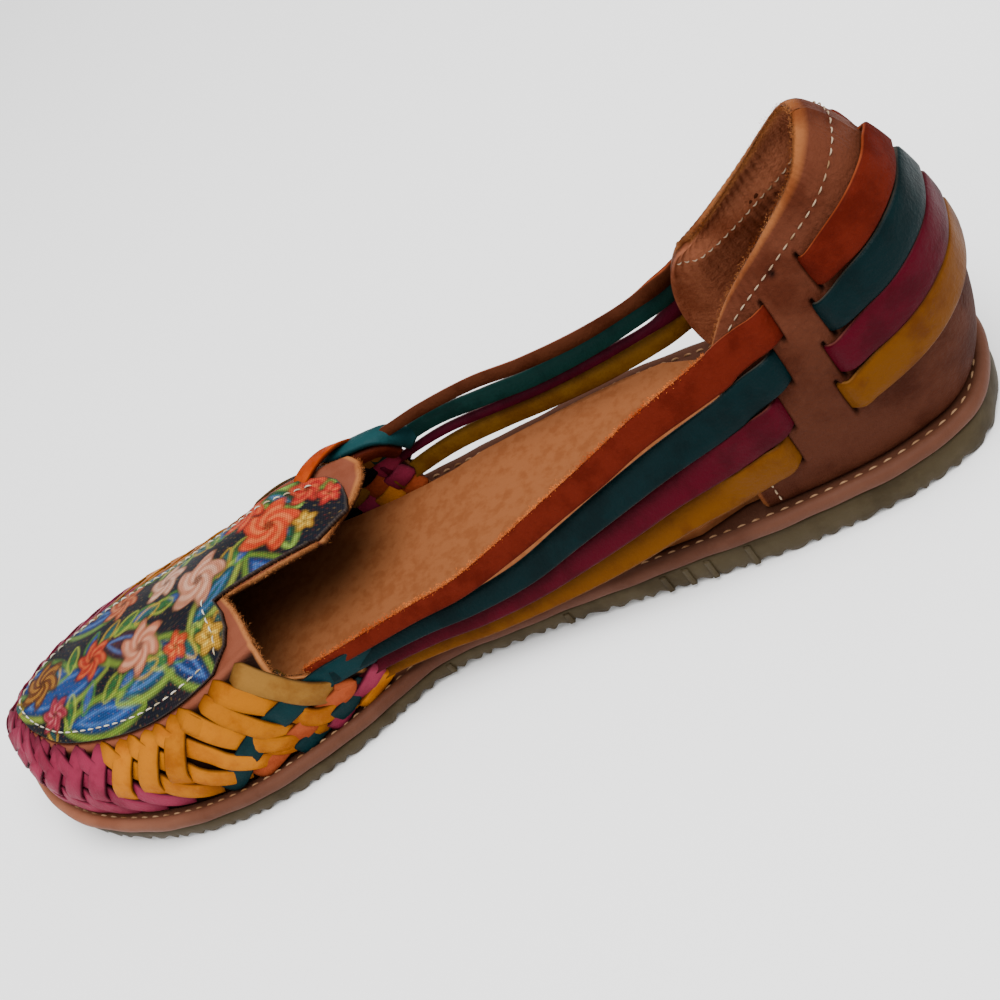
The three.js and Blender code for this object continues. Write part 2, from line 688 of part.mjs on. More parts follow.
// One side of a strap, from the middle of the back to where it meets the vamp's rear edge.
function strapSide(strap, side) {
  const path = [];
  const column = side > 0 ? "inner" : "outer";
  const widthAt = (x) =>
    STRAP_WIDTH * lookUpStraight(STRAP_WIDTHS, "along", column, x / SOLE_LENGTH);
  const heights = [
    { round: 0, up: strap.back },
    { round: BACK_SLOT, up: strap.back },
    { round: strap.rear[0], up: strap.rear[1] },
    { round: strap.front[0], up: strap.front[1] },
    { round: 1, up: strap.edge },
  ];
  const perMillimetre = 1 / counterLength;
  const bend = SLOT_BEND * perMillimetre;
  const depths = [
    { round: 0, out: strapIn },
    { round: BACK_SLOT, out: strapIn },
    { round: BACK_SLOT + bend, out: strapOut },
    { round: strap.rear[0] - bend / 2, out: strapOut },
    { round: strap.rear[0] + bend / 2, out: strapIn },
    { round: strap.front[0] - bend / 2, out: strapIn },
    { round: strap.front[0] + bend / 2, out: strapOut },
    { round: 1, out: strapOut },
  ];
  const elbows = depths.slice(1, -1).map((d) => d.round);
  const evenly = Array.from({ length: 15 }, (_, i) => (i + 1) / 16);
  const free = evenly.filter((r) => elbows.every((e) => Math.abs(r - e) > 0.6 * bend));
  const rounds = [0, ...elbows, ...free, 1].sort((a, b) => a - b);
  for (const round of rounds) {
    const up = lookUp(heights, "round", "up", round);
    const out = lookUpStraight(depths, "round", "out", round);
    const centre = counterPoint(side * round, up, out);
    const above = counterPoint(side * round, Math.min(1, up + 0.06), out);
    const below = counterPoint(side * round, up - 0.06, out);
    const lean = above.sub(below).normalize();
    const elbow = elbows.includes(round);
    path.push({ centre, up: lean, width: widthAt(centre.x), elbow });
  }
  const leave = path.at(-1).centre;
  const lowest = Math.max(0, strap.end - 0.05);
  const rear = lookUpStraight(THROAT, "up", column, lowest);
  const round = roundAt(rear * SOLE_LENGTH - 4 * GAP, side);
  const normal = normalOf(vampSurface, round, strap.end, 2e-3).negate();
  const end = vampSurface(round, strap.end).addScaledVector(normal, -VAMP_WALL / 2);
  const tilt = THREE.MathUtils.degToRad(side > 0 ? TILT_INNER : TILT_OUTER);
  const up = new THREE.Vector3(0, -side * Math.sin(tilt), Math.cos(tilt));
  const stations = side > 0 ? SPAN_INNER : SPAN_OUTER;
  stations.forEach((along, i) => {
    const x = along * SOLE_LENGTH;
    const k = (x - leave.x) / (end.x - leave.x);
    const centre = new THREE.Vector3(x, mix(leave.y, end.y, k), strap.span[i] * COUNTER_HEIGHT);
    path.push({ centre, up, width: widthAt(x) });
  });
  path.push({ centre: end, up, width: widthAt(end.x) });
  return path;
}

// The length of the counter from the middle of the back to its front edge, half way up.
const counterLength = (() => {
  let length = 0;
  for (let i = 0; i < 20; i += 1) {
    length += counterSurface(i / 20, 0.5).distanceTo(counterSurface((i + 1) / 20, 0.5));
  }
  return length;
})();

// A flat strip of a given thickness along a path.
function strip(path, thickness, spare) {
  const points = [];
  path.forEach((stop, i) => {
    const before = path[Math.max(0, i - 1)].centre;
    const after = path[Math.min(path.length - 1, i + 1)].centre;
    const along = after.clone().sub(before).normalize();
    const out = stop.up.clone().cross(along).normalize();
    const wide = along.clone().cross(out).normalize();
    const w = stop.width / 2 + spare;
    const t = thickness / 2 + spare;
    for (const [a, b] of [[-1, -1], [1, -1], [1, 1], [-1, 1]]) {
      points.push(stop.centre.clone().addScaledVector(wide, a * w).addScaledVector(out, b * t));
    }
  });
  const triangles = [];
  for (let i = 0; i < path.length - 1; i += 1) {
    for (let k = 0; k < 4; k += 1) {
      const [a, b] = [4 * i + k, 4 * i + ((k + 1) % 4)];
      triangles.push(a, a + 4, b, b, a + 4, b + 4);
    }
  }
  const last = 4 * (path.length - 1);
  triangles.push(0, 1, 2, 0, 2, 3);
  triangles.push(last, last + 2, last + 1, last, last + 3, last + 2);
  return solidFrom(points, triangles);
}

// The cutters for a strap's slots in the counter, one from each elbow to the next.
function slotCutters(path) {
  const elbows = path.filter((stop) => stop.elbow);
  const cutters = [];
  for (let i = 0; i < elbows.length; i += 2) {
    const [a, b] = [elbows[i], elbows[i + 1]];
    const over = b.centre.clone().sub(a.centre).normalize().multiplyScalar(2 * GAP);
    const start = { ...a, centre: a.centre.clone().sub(over) };
    const end = { ...b, centre: b.centre.clone().add(over) };
    cutters.push(strip([start, end], STRAP_THICKNESS, 1.7 * GAP));
  }
  return cutters;
}

function strapPath(strap) {
  const inner = strapSide(strap.inner, 1);
  const outer = strapSide(strap.outer, -1);
  return [...inner.toReversed(), ...outer.slice(1)];
}

// The whole shoe

const leather = (colour, roughness) =>
  new THREE.MeshStandardMaterial({ color: colour, roughness, metalness: 0 });

let counter = makeCounterWall();
const pieces = [
  meshFrom("outsole", makeOutsole(), leather(0x5a4e38, 0.55)),
  meshFrom("midsole", makeMidsole(), leather(0x9b6444, 0.6)),
  meshFrom("insole", makeInsole(), leather(0xa87048, 0.75)),
  meshFrom("vamp", makeVamp(), leather(0xc58a1e, 0.6)),
  meshFrom("apron", makeApron(), leather(0x27304a, 0.6)),
];
for (const strap of STRAPS) {
  const path = strapPath(strap);
  for (const cutter of slotCutters(path)) counter = counter.subtract(cutter);
  pieces.push(meshFrom(strap.name, strip(path, STRAP_THICKNESS, 0), leather(strap.colour, 0.6)));
}
pieces.push(meshFrom("counter", counter, leather(0x7e4e38, 0.65)));

const shoe = new THREE.Group();
shoe.add(...pieces);
const bounds = new THREE.Box3().setFromObject(shoe);
const middle = bounds.getCenter(new THREE.Vector3());
shoe.position.set(-middle.x, -middle.y, -bounds.min.z);

export default shoe;
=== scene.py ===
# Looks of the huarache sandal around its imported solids. Lengths in the forms are in millimetres
# along the sole, with the back of the heel at x = 0, and pieces are put into the frame in metres.

import math

import bpy
import numpy as np
from mathutils import Matrix, Vector


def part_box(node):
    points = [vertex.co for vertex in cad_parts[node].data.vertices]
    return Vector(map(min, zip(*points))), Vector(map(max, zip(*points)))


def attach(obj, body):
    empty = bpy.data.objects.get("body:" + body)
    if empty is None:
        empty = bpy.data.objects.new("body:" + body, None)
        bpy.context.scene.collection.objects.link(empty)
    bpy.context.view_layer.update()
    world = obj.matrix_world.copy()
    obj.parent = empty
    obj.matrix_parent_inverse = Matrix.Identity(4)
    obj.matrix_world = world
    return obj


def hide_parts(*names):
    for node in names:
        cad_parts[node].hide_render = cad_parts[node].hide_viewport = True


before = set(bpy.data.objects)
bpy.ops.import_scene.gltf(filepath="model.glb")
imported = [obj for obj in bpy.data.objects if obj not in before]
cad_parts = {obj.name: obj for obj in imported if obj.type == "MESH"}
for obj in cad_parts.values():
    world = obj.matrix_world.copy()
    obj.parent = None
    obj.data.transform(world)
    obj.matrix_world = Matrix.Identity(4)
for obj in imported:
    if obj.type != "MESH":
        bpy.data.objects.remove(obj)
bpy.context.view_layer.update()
rng = np.random.default_rng(7)

# The same sizes as the solids

SOLE_LENGTH, HEEL_WIDTH, WAIST_WIDTH, BALL_WIDTH = 247.0, 57.7, 58.3, 78.7
TOE_OFFSET, TOE_SPRING, ARCH_LIFT = 3.0, 7.4, 1.5
OUTSOLE_FOREPART, OUTSOLE_HEEL = 4.7, 7.9
RIM_HEIGHT, RIM_WIDTH, CHANNEL_DEPTH = 3.6, 3.2, 0.9
VAMP_HEIGHT, VAMP_WALL, VAMP_INSET = 37.2, 2.0, 3.7
COUNTER_HEIGHT, COUNTER_WALL = 76.3, 2.4
COUNTER_INSET, COUNTER_INSET_BACK, COUNTER_FRONT = 4.9, 3.6, 0.205
STRAP_WIDTH, STRAP_THICKNESS, SLOT_BEND = 6.2, 1.5, 3.2
GAP = 0.3
OUTLINE_STOPS = 4800
VAMP_TOP = 0.993  # the highest place on the vamp where its normal is taken

OUTLINE = [
    (0.024, HEEL_WIDTH, 0.326, 0.295), (0.081, HEEL_WIDTH, 0.451, 0.451),
    (0.182, HEEL_WIDTH, 0.497, 0.503), (0.304, WAIST_WIDTH, 0.465, 0.571),
    (0.425, WAIST_WIDTH, 0.437, 0.563), (0.526, WAIST_WIDTH, 0.441, 0.556),
    (0.628, BALL_WIDTH, 0.461, 0.423), (0.729, BALL_WIDTH, 0.537, 0.463),
    (0.83, BALL_WIDTH, 0.516, 0.431), (0.923, BALL_WIDTH, 0.4, 0.318),
    (0.976, BALL_WIDTH, 0.215, 0.155),
]
RIDGE = np.array([
    (0.52, 0.038, 0.887), (0.585, 0.044, 0.93), (0.67, 0.051, 1),
    (0.78, 0.051, 0.898), (0.86, 0.057, 0.817), (0.915, 0.064, 0.747),
])
# along, inner power, outer power, inner bulge, outer bulge
FULLNESS = np.array([
    (0.52, 3, 6, 1.1, 0.3), (0.6, 2.9, 4.4, 0.8, 0.3), (0.68, 2.45, 2, 0.15, 0.1),
    (0.9, 2.45, 2, 0.1, 0.1), (1, 2.45, 2.2, 0.55, 0.4),
])
# up, inner, outer
THROAT = np.array([
    (0, 0.562, 0.524), (0.09, 0.563, 0.526), (0.18, 0.568, 0.528), (0.27, 0.577, 0.53),
    (0.355, 0.604, 0.532), (0.425, 0.637, 0.536), (0.49, 0.64, 0.542), (0.535, 0.642, 0.583),
    (0.57, 0.643, 0.583), (0.6, 0.645, 0.553), (0.64, 0.648, 0.541), (0.71, 0.652, 0.538),
    (0.8, 0.66, 0.544), (0.885, 0.672, 0.556), (0.905, 0.634, 0.56), (1, 0.574, 0.574),
])
APRON_EDGE = np.array([
    (0.3, 0.62), (0.325, 0.55), (0.358, 0.527), (0.398, 0.579), (0.425, 0.632),
    (0.468, 0.63), (0.5, 0.6), (0.56, 0.62), (0.64, 0.63), (0.72, 0.64),
])
# up, along, on the inner side
APRON_REAR = np.array([
    (0, 0.69), (0.14, 0.671), (0.3, 0.667), (0.5, 0.67), (0.7, 0.679), (0.76, 0.645), (1, 0.58),
])
# round, along, side, up, back inner, back outer, swell
TOPLINE = np.array([
    (0, 0.053, 0, 1, 9.6, 9.6, 0), (0.22, 0.059, 0.104, 0.98, 9, 9, 2.5),
    (0.42, 0.075, 0.184, 0.925, 5.8, 5.5, 4.5), (0.62, 0.111, 0.205, 0.83, 2, 1.5, 5.5),
    (0.82, 0.154, 0.229, 0.722, -0.5, -2.5, 5.5), (1, 0.181, 0.295, 0.637, -1, -6.5, 4.5),
])
SPAN_INNER = [0.255, 0.304, 0.348, 0.401, 0.457, 0.506]
SPAN_OUTER = [0.255, 0.312, 0.372, 0.421, 0.478]
STRAP_WIDTHS = np.array([
    (0, 1, 1), (0.1, 1, 0.94), (0.155, 1.1, 0.88), (0.2, 1.15, 0.72), (0.3, 1.06, 0.84),
    (0.4, 0.88, 0.82), (0.5, 0.68, 0.72), (0.56, 0.58, 0.66),
])
# for each side, inner first: height at the back, in the vamp and at the front edge of the heel cup,
# place and height of its rear and front slots, and heights along its free span
STRAPS = {
    "top_rust": (
        (0.777, 0.36, 0.915, (0.573, 0.818), (0.725, 0.806), (0.544, 0.488, 0.443, 0.388, 0.34, 0.33)),
        (0.777, 0.47, 0.665, (0.585, 0.82), (0.74, 0.8), (0.435, 0.407, 0.404, 0.418, 0.408))),
    "upper_teal": (
        (0.66, 0.28, 0.715, (0.615, 0.68), (0.767, 0.665), (0.449, 0.4, 0.353, 0.296, 0.272, 0.272)),
        (0.66, 0.36, 0.525, (0.62, 0.67), (0.775, 0.62), (0.374, 0.34, 0.325, 0.333, 0.338))),
    "lower_magenta": (
        (0.55, 0.19, 0.52, (0.655, 0.538), (0.824, 0.505), (0.361, 0.315, 0.276, 0.236, 0.216, 0.217)),
        (0.55, 0.27, 0.39, (0.655, 0.525), (0.825, 0.43), (0.304, 0.282, 0.27, 0.274, 0.276))),
    "bottom_ochre": (
        (0.44, 0.1, 0.315, (0.683, 0.385), (0.855, 0.33), (0.272, 0.231, 0.202, 0.178, 0.162, 0.163)),
        (0.44, 0.16, 0.26, (0.69, 0.365), (0.86, 0.245), (0.246, 0.224, 0.218, 0.222, 0.215))),
}
# lean of the straps' free span, inner and outer side, in degrees
TILT = {1: 37.0, -1: -23.0}


# Helpers for the forms

def smooth(v):
    v = np.clip(v, 0, 1)
    return v * v * (3 - 2 * v)


def mix(a, b, k):
    return a + (b - a) * k


def look_up(table, column, x):
    """A column of a table at x, by a smooth curve through its rows."""
    keys, vals = table[:, 0], table[:, column]
    n = len(keys)
    x = np.asarray(x, float)
    i = np.clip(np.searchsorted(keys, x, "right") - 1, 0, n - 2)
    lo, hi = np.maximum(np.arange(n) - 1, 0), np.minimum(np.arange(n) + 1, n - 1)
    slope = (vals[hi] - vals[lo]) / (keys[hi] - keys[lo])
    h = keys[i + 1] - keys[i]
    t = np.clip((x - keys[i]) / h, 0, 1)
    return ((2 * t**3 - 3 * t**2 + 1) * vals[i] + (t**3 - 2 * t**2 + t) * h * slope[i]
            + (3 * t**2 - 2 * t**3) * vals[i + 1] + (t**3 - t**2) * h * slope[i + 1])


def straight(table, column, x):
    """A column of a table at x, by straight lines between its rows."""
    return np.interp(x, table[:, 0], table[:, column])


def between(at, stops, rows):
    """Points between rows of points that stand at the stops."""
    return np.stack([np.interp(at, stops, column) for column in rows.T], -1)


def run_length(path):
    """The length along a path at each of its points."""
    return np.r_[0, np.cumsum(np.linalg.norm(np.diff(path, axis=0), axis=1))]


def outline_table():
    """The sole's outline as a dense table of place, point and outward direction."""
    pts = [(0, 0)] + [(a * SOLE_LENGTH, m * w) for a, w, m, l in OUTLINE]
    pts += [(SOLE_LENGTH, TOE_OFFSET)]
    pts += [(a * SOLE_LENGTH, -l * w) for a, w, m, l in OUTLINE[::-1]]
    p = np.array(pts, float)
    n = len(p)
    t = np.arange(OUTLINE_STOPS) / OUTLINE_STOPS * n
    i = t.astype(int) % n
    f = (t - np.floor(t))[:, None]
    p0, p1, p2, p3 = p[(i - 1) % n], p[i], p[(i + 1) % n], p[(i + 2) % n]
    d0, d1, d2 = (np.sqrt(np.hypot(*(b - a).T))[:, None] for a, b in ((p0, p1), (p1, p2), (p2, p3)))
    t1 = ((p1 - p0) / d0 - (p2 - p0) / (d0 + d1) + (p2 - p1) / d1) * d1
    t2 = ((p2 - p1) / d1 - (p3 - p1) / (d1 + d2) + (p3 - p2) / d2) * d1
    q = p1 + t1 * f + (-3 * p1 + 3 * p2 - 2 * t1 - t2) * f**2 + (2 * p1 - 2 * p2 + t1 + t2) * f**3
    tan = np.roll(q, -1, 0) - np.roll(q, 1, 0)
    tan /= np.hypot(*tan.T)[:, None]
    out = np.stack([-tan[:, 1], tan[:, 0]], 1)
    grid = np.arange(OUTLINE_STOPS + 1) / OUTLINE_STOPS
    return grid, np.vstack([q, q[:1]]), np.vstack([out, out[:1]])


GRID, EDGE, OUT = outline_table()


def along_outline(place):
    place = np.mod(place, 1)
    return between(place, GRID, EDGE), between(place, GRID, OUT)


def rim(place, inset):
    """Points inside the sole's outline by the inset, and the outward directions."""
    p, o = along_outline(place)
    return p - np.asarray(inset)[..., None] * o, o


def spring(x):
    return TOE_SPRING * np.maximum(0, (x / SOLE_LENGTH - 0.75) / 0.25) ** 2


def ground(x):
    return spring(x) + ARCH_LIFT * np.exp(-(((x / SOLE_LENGTH - 0.425) / 0.113) ** 2))


def outsole_top(x):
    return spring(x) + mix(OUTSOLE_FOREPART, OUTSOLE_HEEL,
                           np.clip((0.567 - x / SOLE_LENGTH) / 0.364, 0, 1))


def channel(x):
    return outsole_top(x) + RIM_HEIGHT - CHANNEL_DEPTH


def seat(x):
    return channel(x) + GAP


HALF = GRID[:OUTLINE_STOPS // 2 + 1]
INNER_X, OUTER_X = EDGE[:len(HALF), 0], EDGE[::-1][:len(HALF), 0]


def place_at(x, side):
    """The place round the outline where it reaches x on one side."""
    table = INNER_X if side > 0 else OUTER_X
    place = np.interp(x, np.maximum.accumulate(table), HALF)
    return place if side > 0 else 1 - place


def vamp(place, up):
    """A point of the vamp: round the outline, and up from the foot to the ridge."""
    place, up = np.broadcast_arrays(np.asarray(place, float), np.asarray(up, float))
    up = np.clip(up, 0, 1)
    foot, out = rim(place, VAMP_INSET)
    x = foot[..., 0]
    share = np.clip(x / SOLE_LENGTH, 0, 1)
    start, end = 0.83 * SOLE_LENGTH, RIDGE[-1, 0] * SOLE_LENGTH
    k = np.clip((x - start) / (SOLE_LENGTH - VAMP_INSET - start), 0, 1)
    ridge_x = np.where(x < start, x, start + (end - start) * (2 * k - k * k))
    r = ridge_x / SOLE_LENGTH
    ridge_y, ridge_z = look_up(RIDGE, 1, r) * BALL_WIDTH, look_up(RIDGE, 2, r) * VAMP_HEIGHT
    inner = 0.5 + 0.5 * np.tanh(2.5 * out[..., 1])
    power = mix(look_up(FULLNESS, 2, share), look_up(FULLNESS, 1, share), inner)
    bulge = mix(look_up(FULLNESS, 4, share), look_up(FULLNESS, 3, share), inner) * VAMP_INSET
    c, s = np.maximum(0, np.cos(up * math.pi / 2)), np.sin(up * math.pi / 2)
    reach = (c**power + s**power) ** (-1 / power)
    across = 1 - reach * c
    swell = bulge * np.sin(math.pi * np.clip(up / 0.75, 0, 1))
    return np.stack([
        mix(x, ridge_x, across) + out[..., 0] * swell,
        mix(foot[..., 1], ridge_y, across) + out[..., 1] * swell,
        mix(seat(x), ridge_z, reach * s)], -1)


COUNTER_X = COUNTER_FRONT * SOLE_LENGTH
END = {1: place_at(COUNTER_X, 1), -1: 1 - place_at(COUNTER_X, -1)}


def counter(a, up):
    """A point of the heel cup: a is 0 at the back, 1 at the inner front and -1 at the outer one."""
    a, up = np.broadcast_arrays(np.asarray(a, float), np.asarray(up, float))
    inner = a >= 0
    share = np.abs(a)
    end = np.where(inner, END[1], END[-1])
    inset = mix(COUNTER_INSET_BACK, COUNTER_INSET, smooth(share / 0.35))
    foot, _ = rim(np.mod(1 + np.sign(a) * end * share, 1), inset)
    sign = np.where(inner, 1, -1)
    x, y, z, back_in, back_out, swell = (look_up(TOPLINE, k, share) for k in range(1, 7))
    belly = np.sin(math.pi * np.clip(up, 0, 1)) ** 0.6
    return np.stack([
        mix(foot[..., 0], x * SOLE_LENGTH, up) - np.where(inner, back_in, back_out) * belly,
        mix(foot[..., 1], sign * y * HEEL_WIDTH, up) + sign * swell * belly,
        mix(seat(foot[..., 0]), z * COUNTER_HEIGHT, up)], -1)


def unit(v):
    return v / np.maximum(1e-9, np.linalg.norm(v, axis=-1, keepdims=True))


def normal(surface, u, v, step=2e-3):
    """The outward direction of a surface."""
    du = surface(u + step, v) - surface(u - step, v)
    dv = surface(u, np.minimum(1, v + step)) - surface(u, np.maximum(0, v - step))
    return -unit(np.cross(du, dv))


def vamp_out(place, up, distance):
    up = np.asarray(up, float)
    n = normal(vamp, place, np.minimum(up, VAMP_TOP))
    return vamp(place, up) + n * np.asarray(distance)[..., None]


def counter_out(a, up, distance):
    n = normal(counter, np.clip(a, -0.997, 0.997), np.clip(up, 0.02, 0.98))
    return counter(a, up) + n * np.asarray(distance)[..., None]


# The forms' place in the frame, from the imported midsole

low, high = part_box("midsole")
SHIFT = np.array([low[0] * 1000 - EDGE[:, 0].min(), high[1] * 1000 - EDGE[:, 1].max(), 0])


def to_frame(p):
    return (np.asarray(p) + SHIFT) / 1000


# Building meshes

def colour(code):
    """Linear colour of a code such as a0522d, with full alpha."""
    v = [int(code[i:i + 2], 16) / 255 for i in (0, 2, 4)]
    return np.array([c / 12.92 if c <= 0.04045 else ((c + 0.055) / 1.055) ** 2.4 for c in v] + [1])


def add_object(name, data):
    obj = bpy.data.objects.new(name, data)
    bpy.context.collection.objects.link(obj)
    return obj


def mesh_piece(name, points, faces, material, node=None, slot=None, tint=None, smooth_shade=True):
    """A piece from points in millimetres and a list of faces."""
    mesh = bpy.data.meshes.new(name)
    mesh.from_pydata(to_frame(points).tolist(), [], faces)
    mesh.update()
    if tint is not None:
        layer = mesh.color_attributes.new("tint", "FLOAT_COLOR", "POINT")
        layer.data.foreach_set("color", np.asarray(tint, np.float32).ravel())
    if smooth_shade:
        mesh.polygons.foreach_set("use_smooth", [True] * len(mesh.polygons))
    obj = add_object(name, mesh)
    mesh.materials.append(material)
    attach(obj, "root")
    if node:
        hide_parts(node)


def grid_faces(rows, columns, start=0, closed_columns=False, flip=False):
    """Faces of a grid of points, row by row."""
    r, c = np.arange(rows - 1), np.arange(columns if closed_columns else columns - 1)
    rr, cc = np.meshgrid(r, c, indexing="ij")
    r2, c2 = rr + 1, (cc + 1) % columns
    quads = np.stack([rr * columns + cc, rr * columns + c2, r2 * columns + c2, r2 * columns + cc], -1)
    quads = quads.reshape(-1, 4) + start
    return quads[:, ::-1] if flip else quads


def tube_faces(rows, n):
    """Faces of a tube of rows of n points, with its two ends."""
    faces = grid_faces(rows, n, closed_columns=True).tolist()
    return faces + [list(range(n))[::-1], list(range((rows - 1) * n, rows * n))]


def shell_piece(name, mat, node, slot, shape, skins, tints, flip=False):
    """A wall of two skins, each a grid of points with their colours."""
    rows, cols = shape
    n = rows * cols
    faces = grid_faces(rows, cols, 0, flip=flip).tolist()
    faces += grid_faces(rows, cols, n, flip=not flip).tolist()
    for r in range(rows - 1):
        a, b = r * cols, (r + 1) * cols
        faces.append([a, b, n + b, n + a])
        a, b = a + cols - 1, b + cols - 1
        faces.append([b, a, n + a, n + b])
    for c in range(cols - 1):
        a = (rows - 1) * cols + c
        faces += [[c + 1, c, n + c, n + c + 1], [a, a + 1, n + a + 1, n + a]]
    points, tint = (np.vstack([g.reshape(n, -1) for g in grids]) for grids in (skins, tints))
    mesh_piece(name, points, faces, mat, node, slot, tint)


# The section of a strip: places across its width, and height before it is crowned
ACROSS = np.array([-1, -0.97, -0.86, -0.45, 0, 0.45, 0.86, 0.97, 1, 0.97, 0.86, 0, -0.86, -0.97])
LIFT = np.array([0, 0.62, 0.93, 1, 1, 1, 0.93, 0.62, 0, -0.62, -1, -1, -1, -0.62])
SECTION = len(ACROSS)


def ribbon(path, up, width, thickness, crown=0.25):
    """Points and faces of a flat strip with rounded edges. up is the direction of its width."""
    along = unit(np.gradient(path, axis=0))
    out = unit(np.cross(up, along))
    wide = np.cross(along, out)
    w = np.broadcast_to(np.asarray(width) / 2, (len(path),))
    lift = LIFT + np.where(LIFT > 0, crown * (1 - ACROSS**2), 0)
    pts = (path[:, None] + wide[:, None] * (ACROSS[None, :, None] * w[:, None, None])
           + out[:, None] * (lift[None, :, None] * (thickness / 2)))
    return pts.reshape(-1, 3), tube_faces(len(path), SECTION)


def join(parts):
    points, faces, base = [], [], 0
    for p, f in parts:
        points.append(p)
        faces += [[i + base for i in q] for q in f]
        base += len(p)
    return np.vstack(points), faces


# A stitch: how thick it is along its length, the height of its arch and how deep its ends lie
STITCH_FORM = np.array([0.25, 0.8, 1, 1, 1, 0.8, 0.25])
STITCH_ARCH, STITCH_SINK, STITCH_SIDES = 0.28, 0.05, 8


def stitches(path, out, length, gap, radius):
    """A row of short stitches along a path, on the side that out points to."""
    out = unit(np.broadcast_to(out, path.shape))
    d = run_length(path)
    stops = np.linspace(0, 1, len(STITCH_FORM))
    rise = np.sin(stops * math.pi) * STITCH_ARCH - STITCH_SINK
    angles = np.arange(STITCH_SIDES) / STITCH_SIDES * 2 * math.pi
    faces = tube_faces(len(stops), STITCH_SIDES)
    parts = []
    for k in range(int(d[-1] / (length + gap))):
        start = k * (length + gap)
        a, b = between(start, d, path), between(start + length, d, path)
        n = unit(between(start, d, out))
        side = np.cross(n, unit(b - a))
        centre = a + (b - a) * stops[:, None] + n * rise[:, None]
        ring = np.cos(angles)[:, None] * side + np.sin(angles)[:, None] * n
        pts = centre[:, None] + ring * (radius * STITCH_FORM)[:, None, None]
        parts.append((pts.reshape(-1, 3), faces))
    return join(parts)


FIBRE_SCATTER, FIBRE_SPREAD = 0.35, 0.9


def fuzz(path, out, count, length, width=0.11):
    """Short fibres of a raw leather edge along a path."""
    out = unit(np.broadcast_to(out, path.shape))
    d = run_length(path)
    s = rng.uniform(0, d[-1], count)
    p, n = between(s, d, path), between(s, d, out)
    p = p + rng.normal(0, FIBRE_SCATTER, (count, 3))
    aim = unit(n + rng.normal(0, FIBRE_SPREAD, (count, 3)))
    side = unit(np.cross(aim, rng.normal(0, 1, (count, 3)))) * width / 2
    size = rng.uniform(0.35, 1, (count, 1)) * length
    pts = np.stack([p - side, p + side, p + aim * size], 1)
    return pts.reshape(-1, 3), np.arange(count * 3).reshape(-1, 3).tolist()


# Materials

def material(name, code, patch, fleck, rough, grain, bump, patches, tint=False, shine=0.04, weave=None):
    """Leather, cloth or rubber: broad darker patches, fine lighter grain and an optional weave."""
    m = bpy.data.materials.new(name)
    m.use_nodes = True
    nodes, links = m.node_tree.nodes, m.node_tree.links
    nodes.clear()
    out = nodes.new("ShaderNodeOutputMaterial")
    bsdf = nodes.new("ShaderNodeBsdfPrincipled")
    links.new(bsdf.outputs[0], out.inputs[0])
    coord = nodes.new("ShaderNodeTexCoord")

    def texture(kind, scale):
        n = nodes.new("ShaderNodeTex" + kind)
        n.inputs["Scale"].default_value = scale
        links.new(coord.outputs["Object"], n.inputs["Vector"])
        return n

    def noise(scale, detail=3):
        n = texture("Noise", scale)
        n.inputs["Detail"].default_value = detail
        n.inputs["Roughness"].default_value = 0.6
        return n.outputs["Fac"]

    def blend(kind, factor, a, b):
        n = nodes.new("ShaderNodeMix")
        n.data_type = "RGBA"
        n.blend_type = kind
        links.new(factor, n.inputs[0])
        for socket, value in ((n.inputs[6], a), (n.inputs[7], b)):
            if isinstance(value, np.ndarray):
                socket.default_value = value.tolist()
            else:
                links.new(value, socket)
        return n.outputs[2]

    def ramp(source, low_at, high_at):
        n = nodes.new("ShaderNodeMapRange")
        n.inputs["From Min"].default_value = low_at
        n.inputs["From Max"].default_value = high_at
        n.interpolation_type = "SMOOTHSTEP"
        links.new(source, n.inputs["Value"])
        return n.outputs["Result"]

    def combine(kind, a, b):
        n = nodes.new("ShaderNodeMath")
        n.operation = kind
        links.new(a, n.inputs[0])
        links.new(b, n.inputs[1])
        return n.outputs[0]

    base = colour(code)
    if tint:
        attr = nodes.new("ShaderNodeAttribute")
        attr.attribute_name = "tint"
        base = attr.outputs["Color"]
    broad, fine = noise(patches, 4), noise(grain)
    col = blend("MULTIPLY", ramp(broad, 0.42, 0.66), base, colour(patch))
    col = blend("SCREEN", ramp(fine, 0.5, 0.8), col, colour(fleck))
    height = fine
    if weave:
        wave = []
        for direction in ("X", "Y"):
            n = texture("Wave", weave)
            n.bands_direction = direction
            wave.append(n.outputs["Fac"])
        height = combine("MULTIPLY", *wave)
        col = blend("MULTIPLY", ramp(height, 0.6, 0), col, np.array([0.55, 0.55, 0.6, 1]))
    links.new(col, bsdf.inputs["Base Color"])
    rough_map = nodes.new("ShaderNodeMapRange")
    rough_map.inputs["To Min"].default_value = rough - 0.12
    rough_map.inputs["To Max"].default_value = min(1, rough + 0.14)
    links.new(broad, rough_map.inputs["Value"])
    links.new(rough_map.outputs["Result"], bsdf.inputs["Roughness"])
    wrinkled = combine("ADD", height, noise(grain * 0.16))
    b = nodes.new("ShaderNodeBump")
    b.inputs["Strength"].default_value = bump
    b.inputs["Distance"].default_value = 0.0006
    links.new(wrinkled, b.inputs["Height"])
    links.new(b.outputs["Normal"], bsdf.inputs["Normal"])
    bsdf.inputs["Specular IOR Level"].default_value = shine
    return m


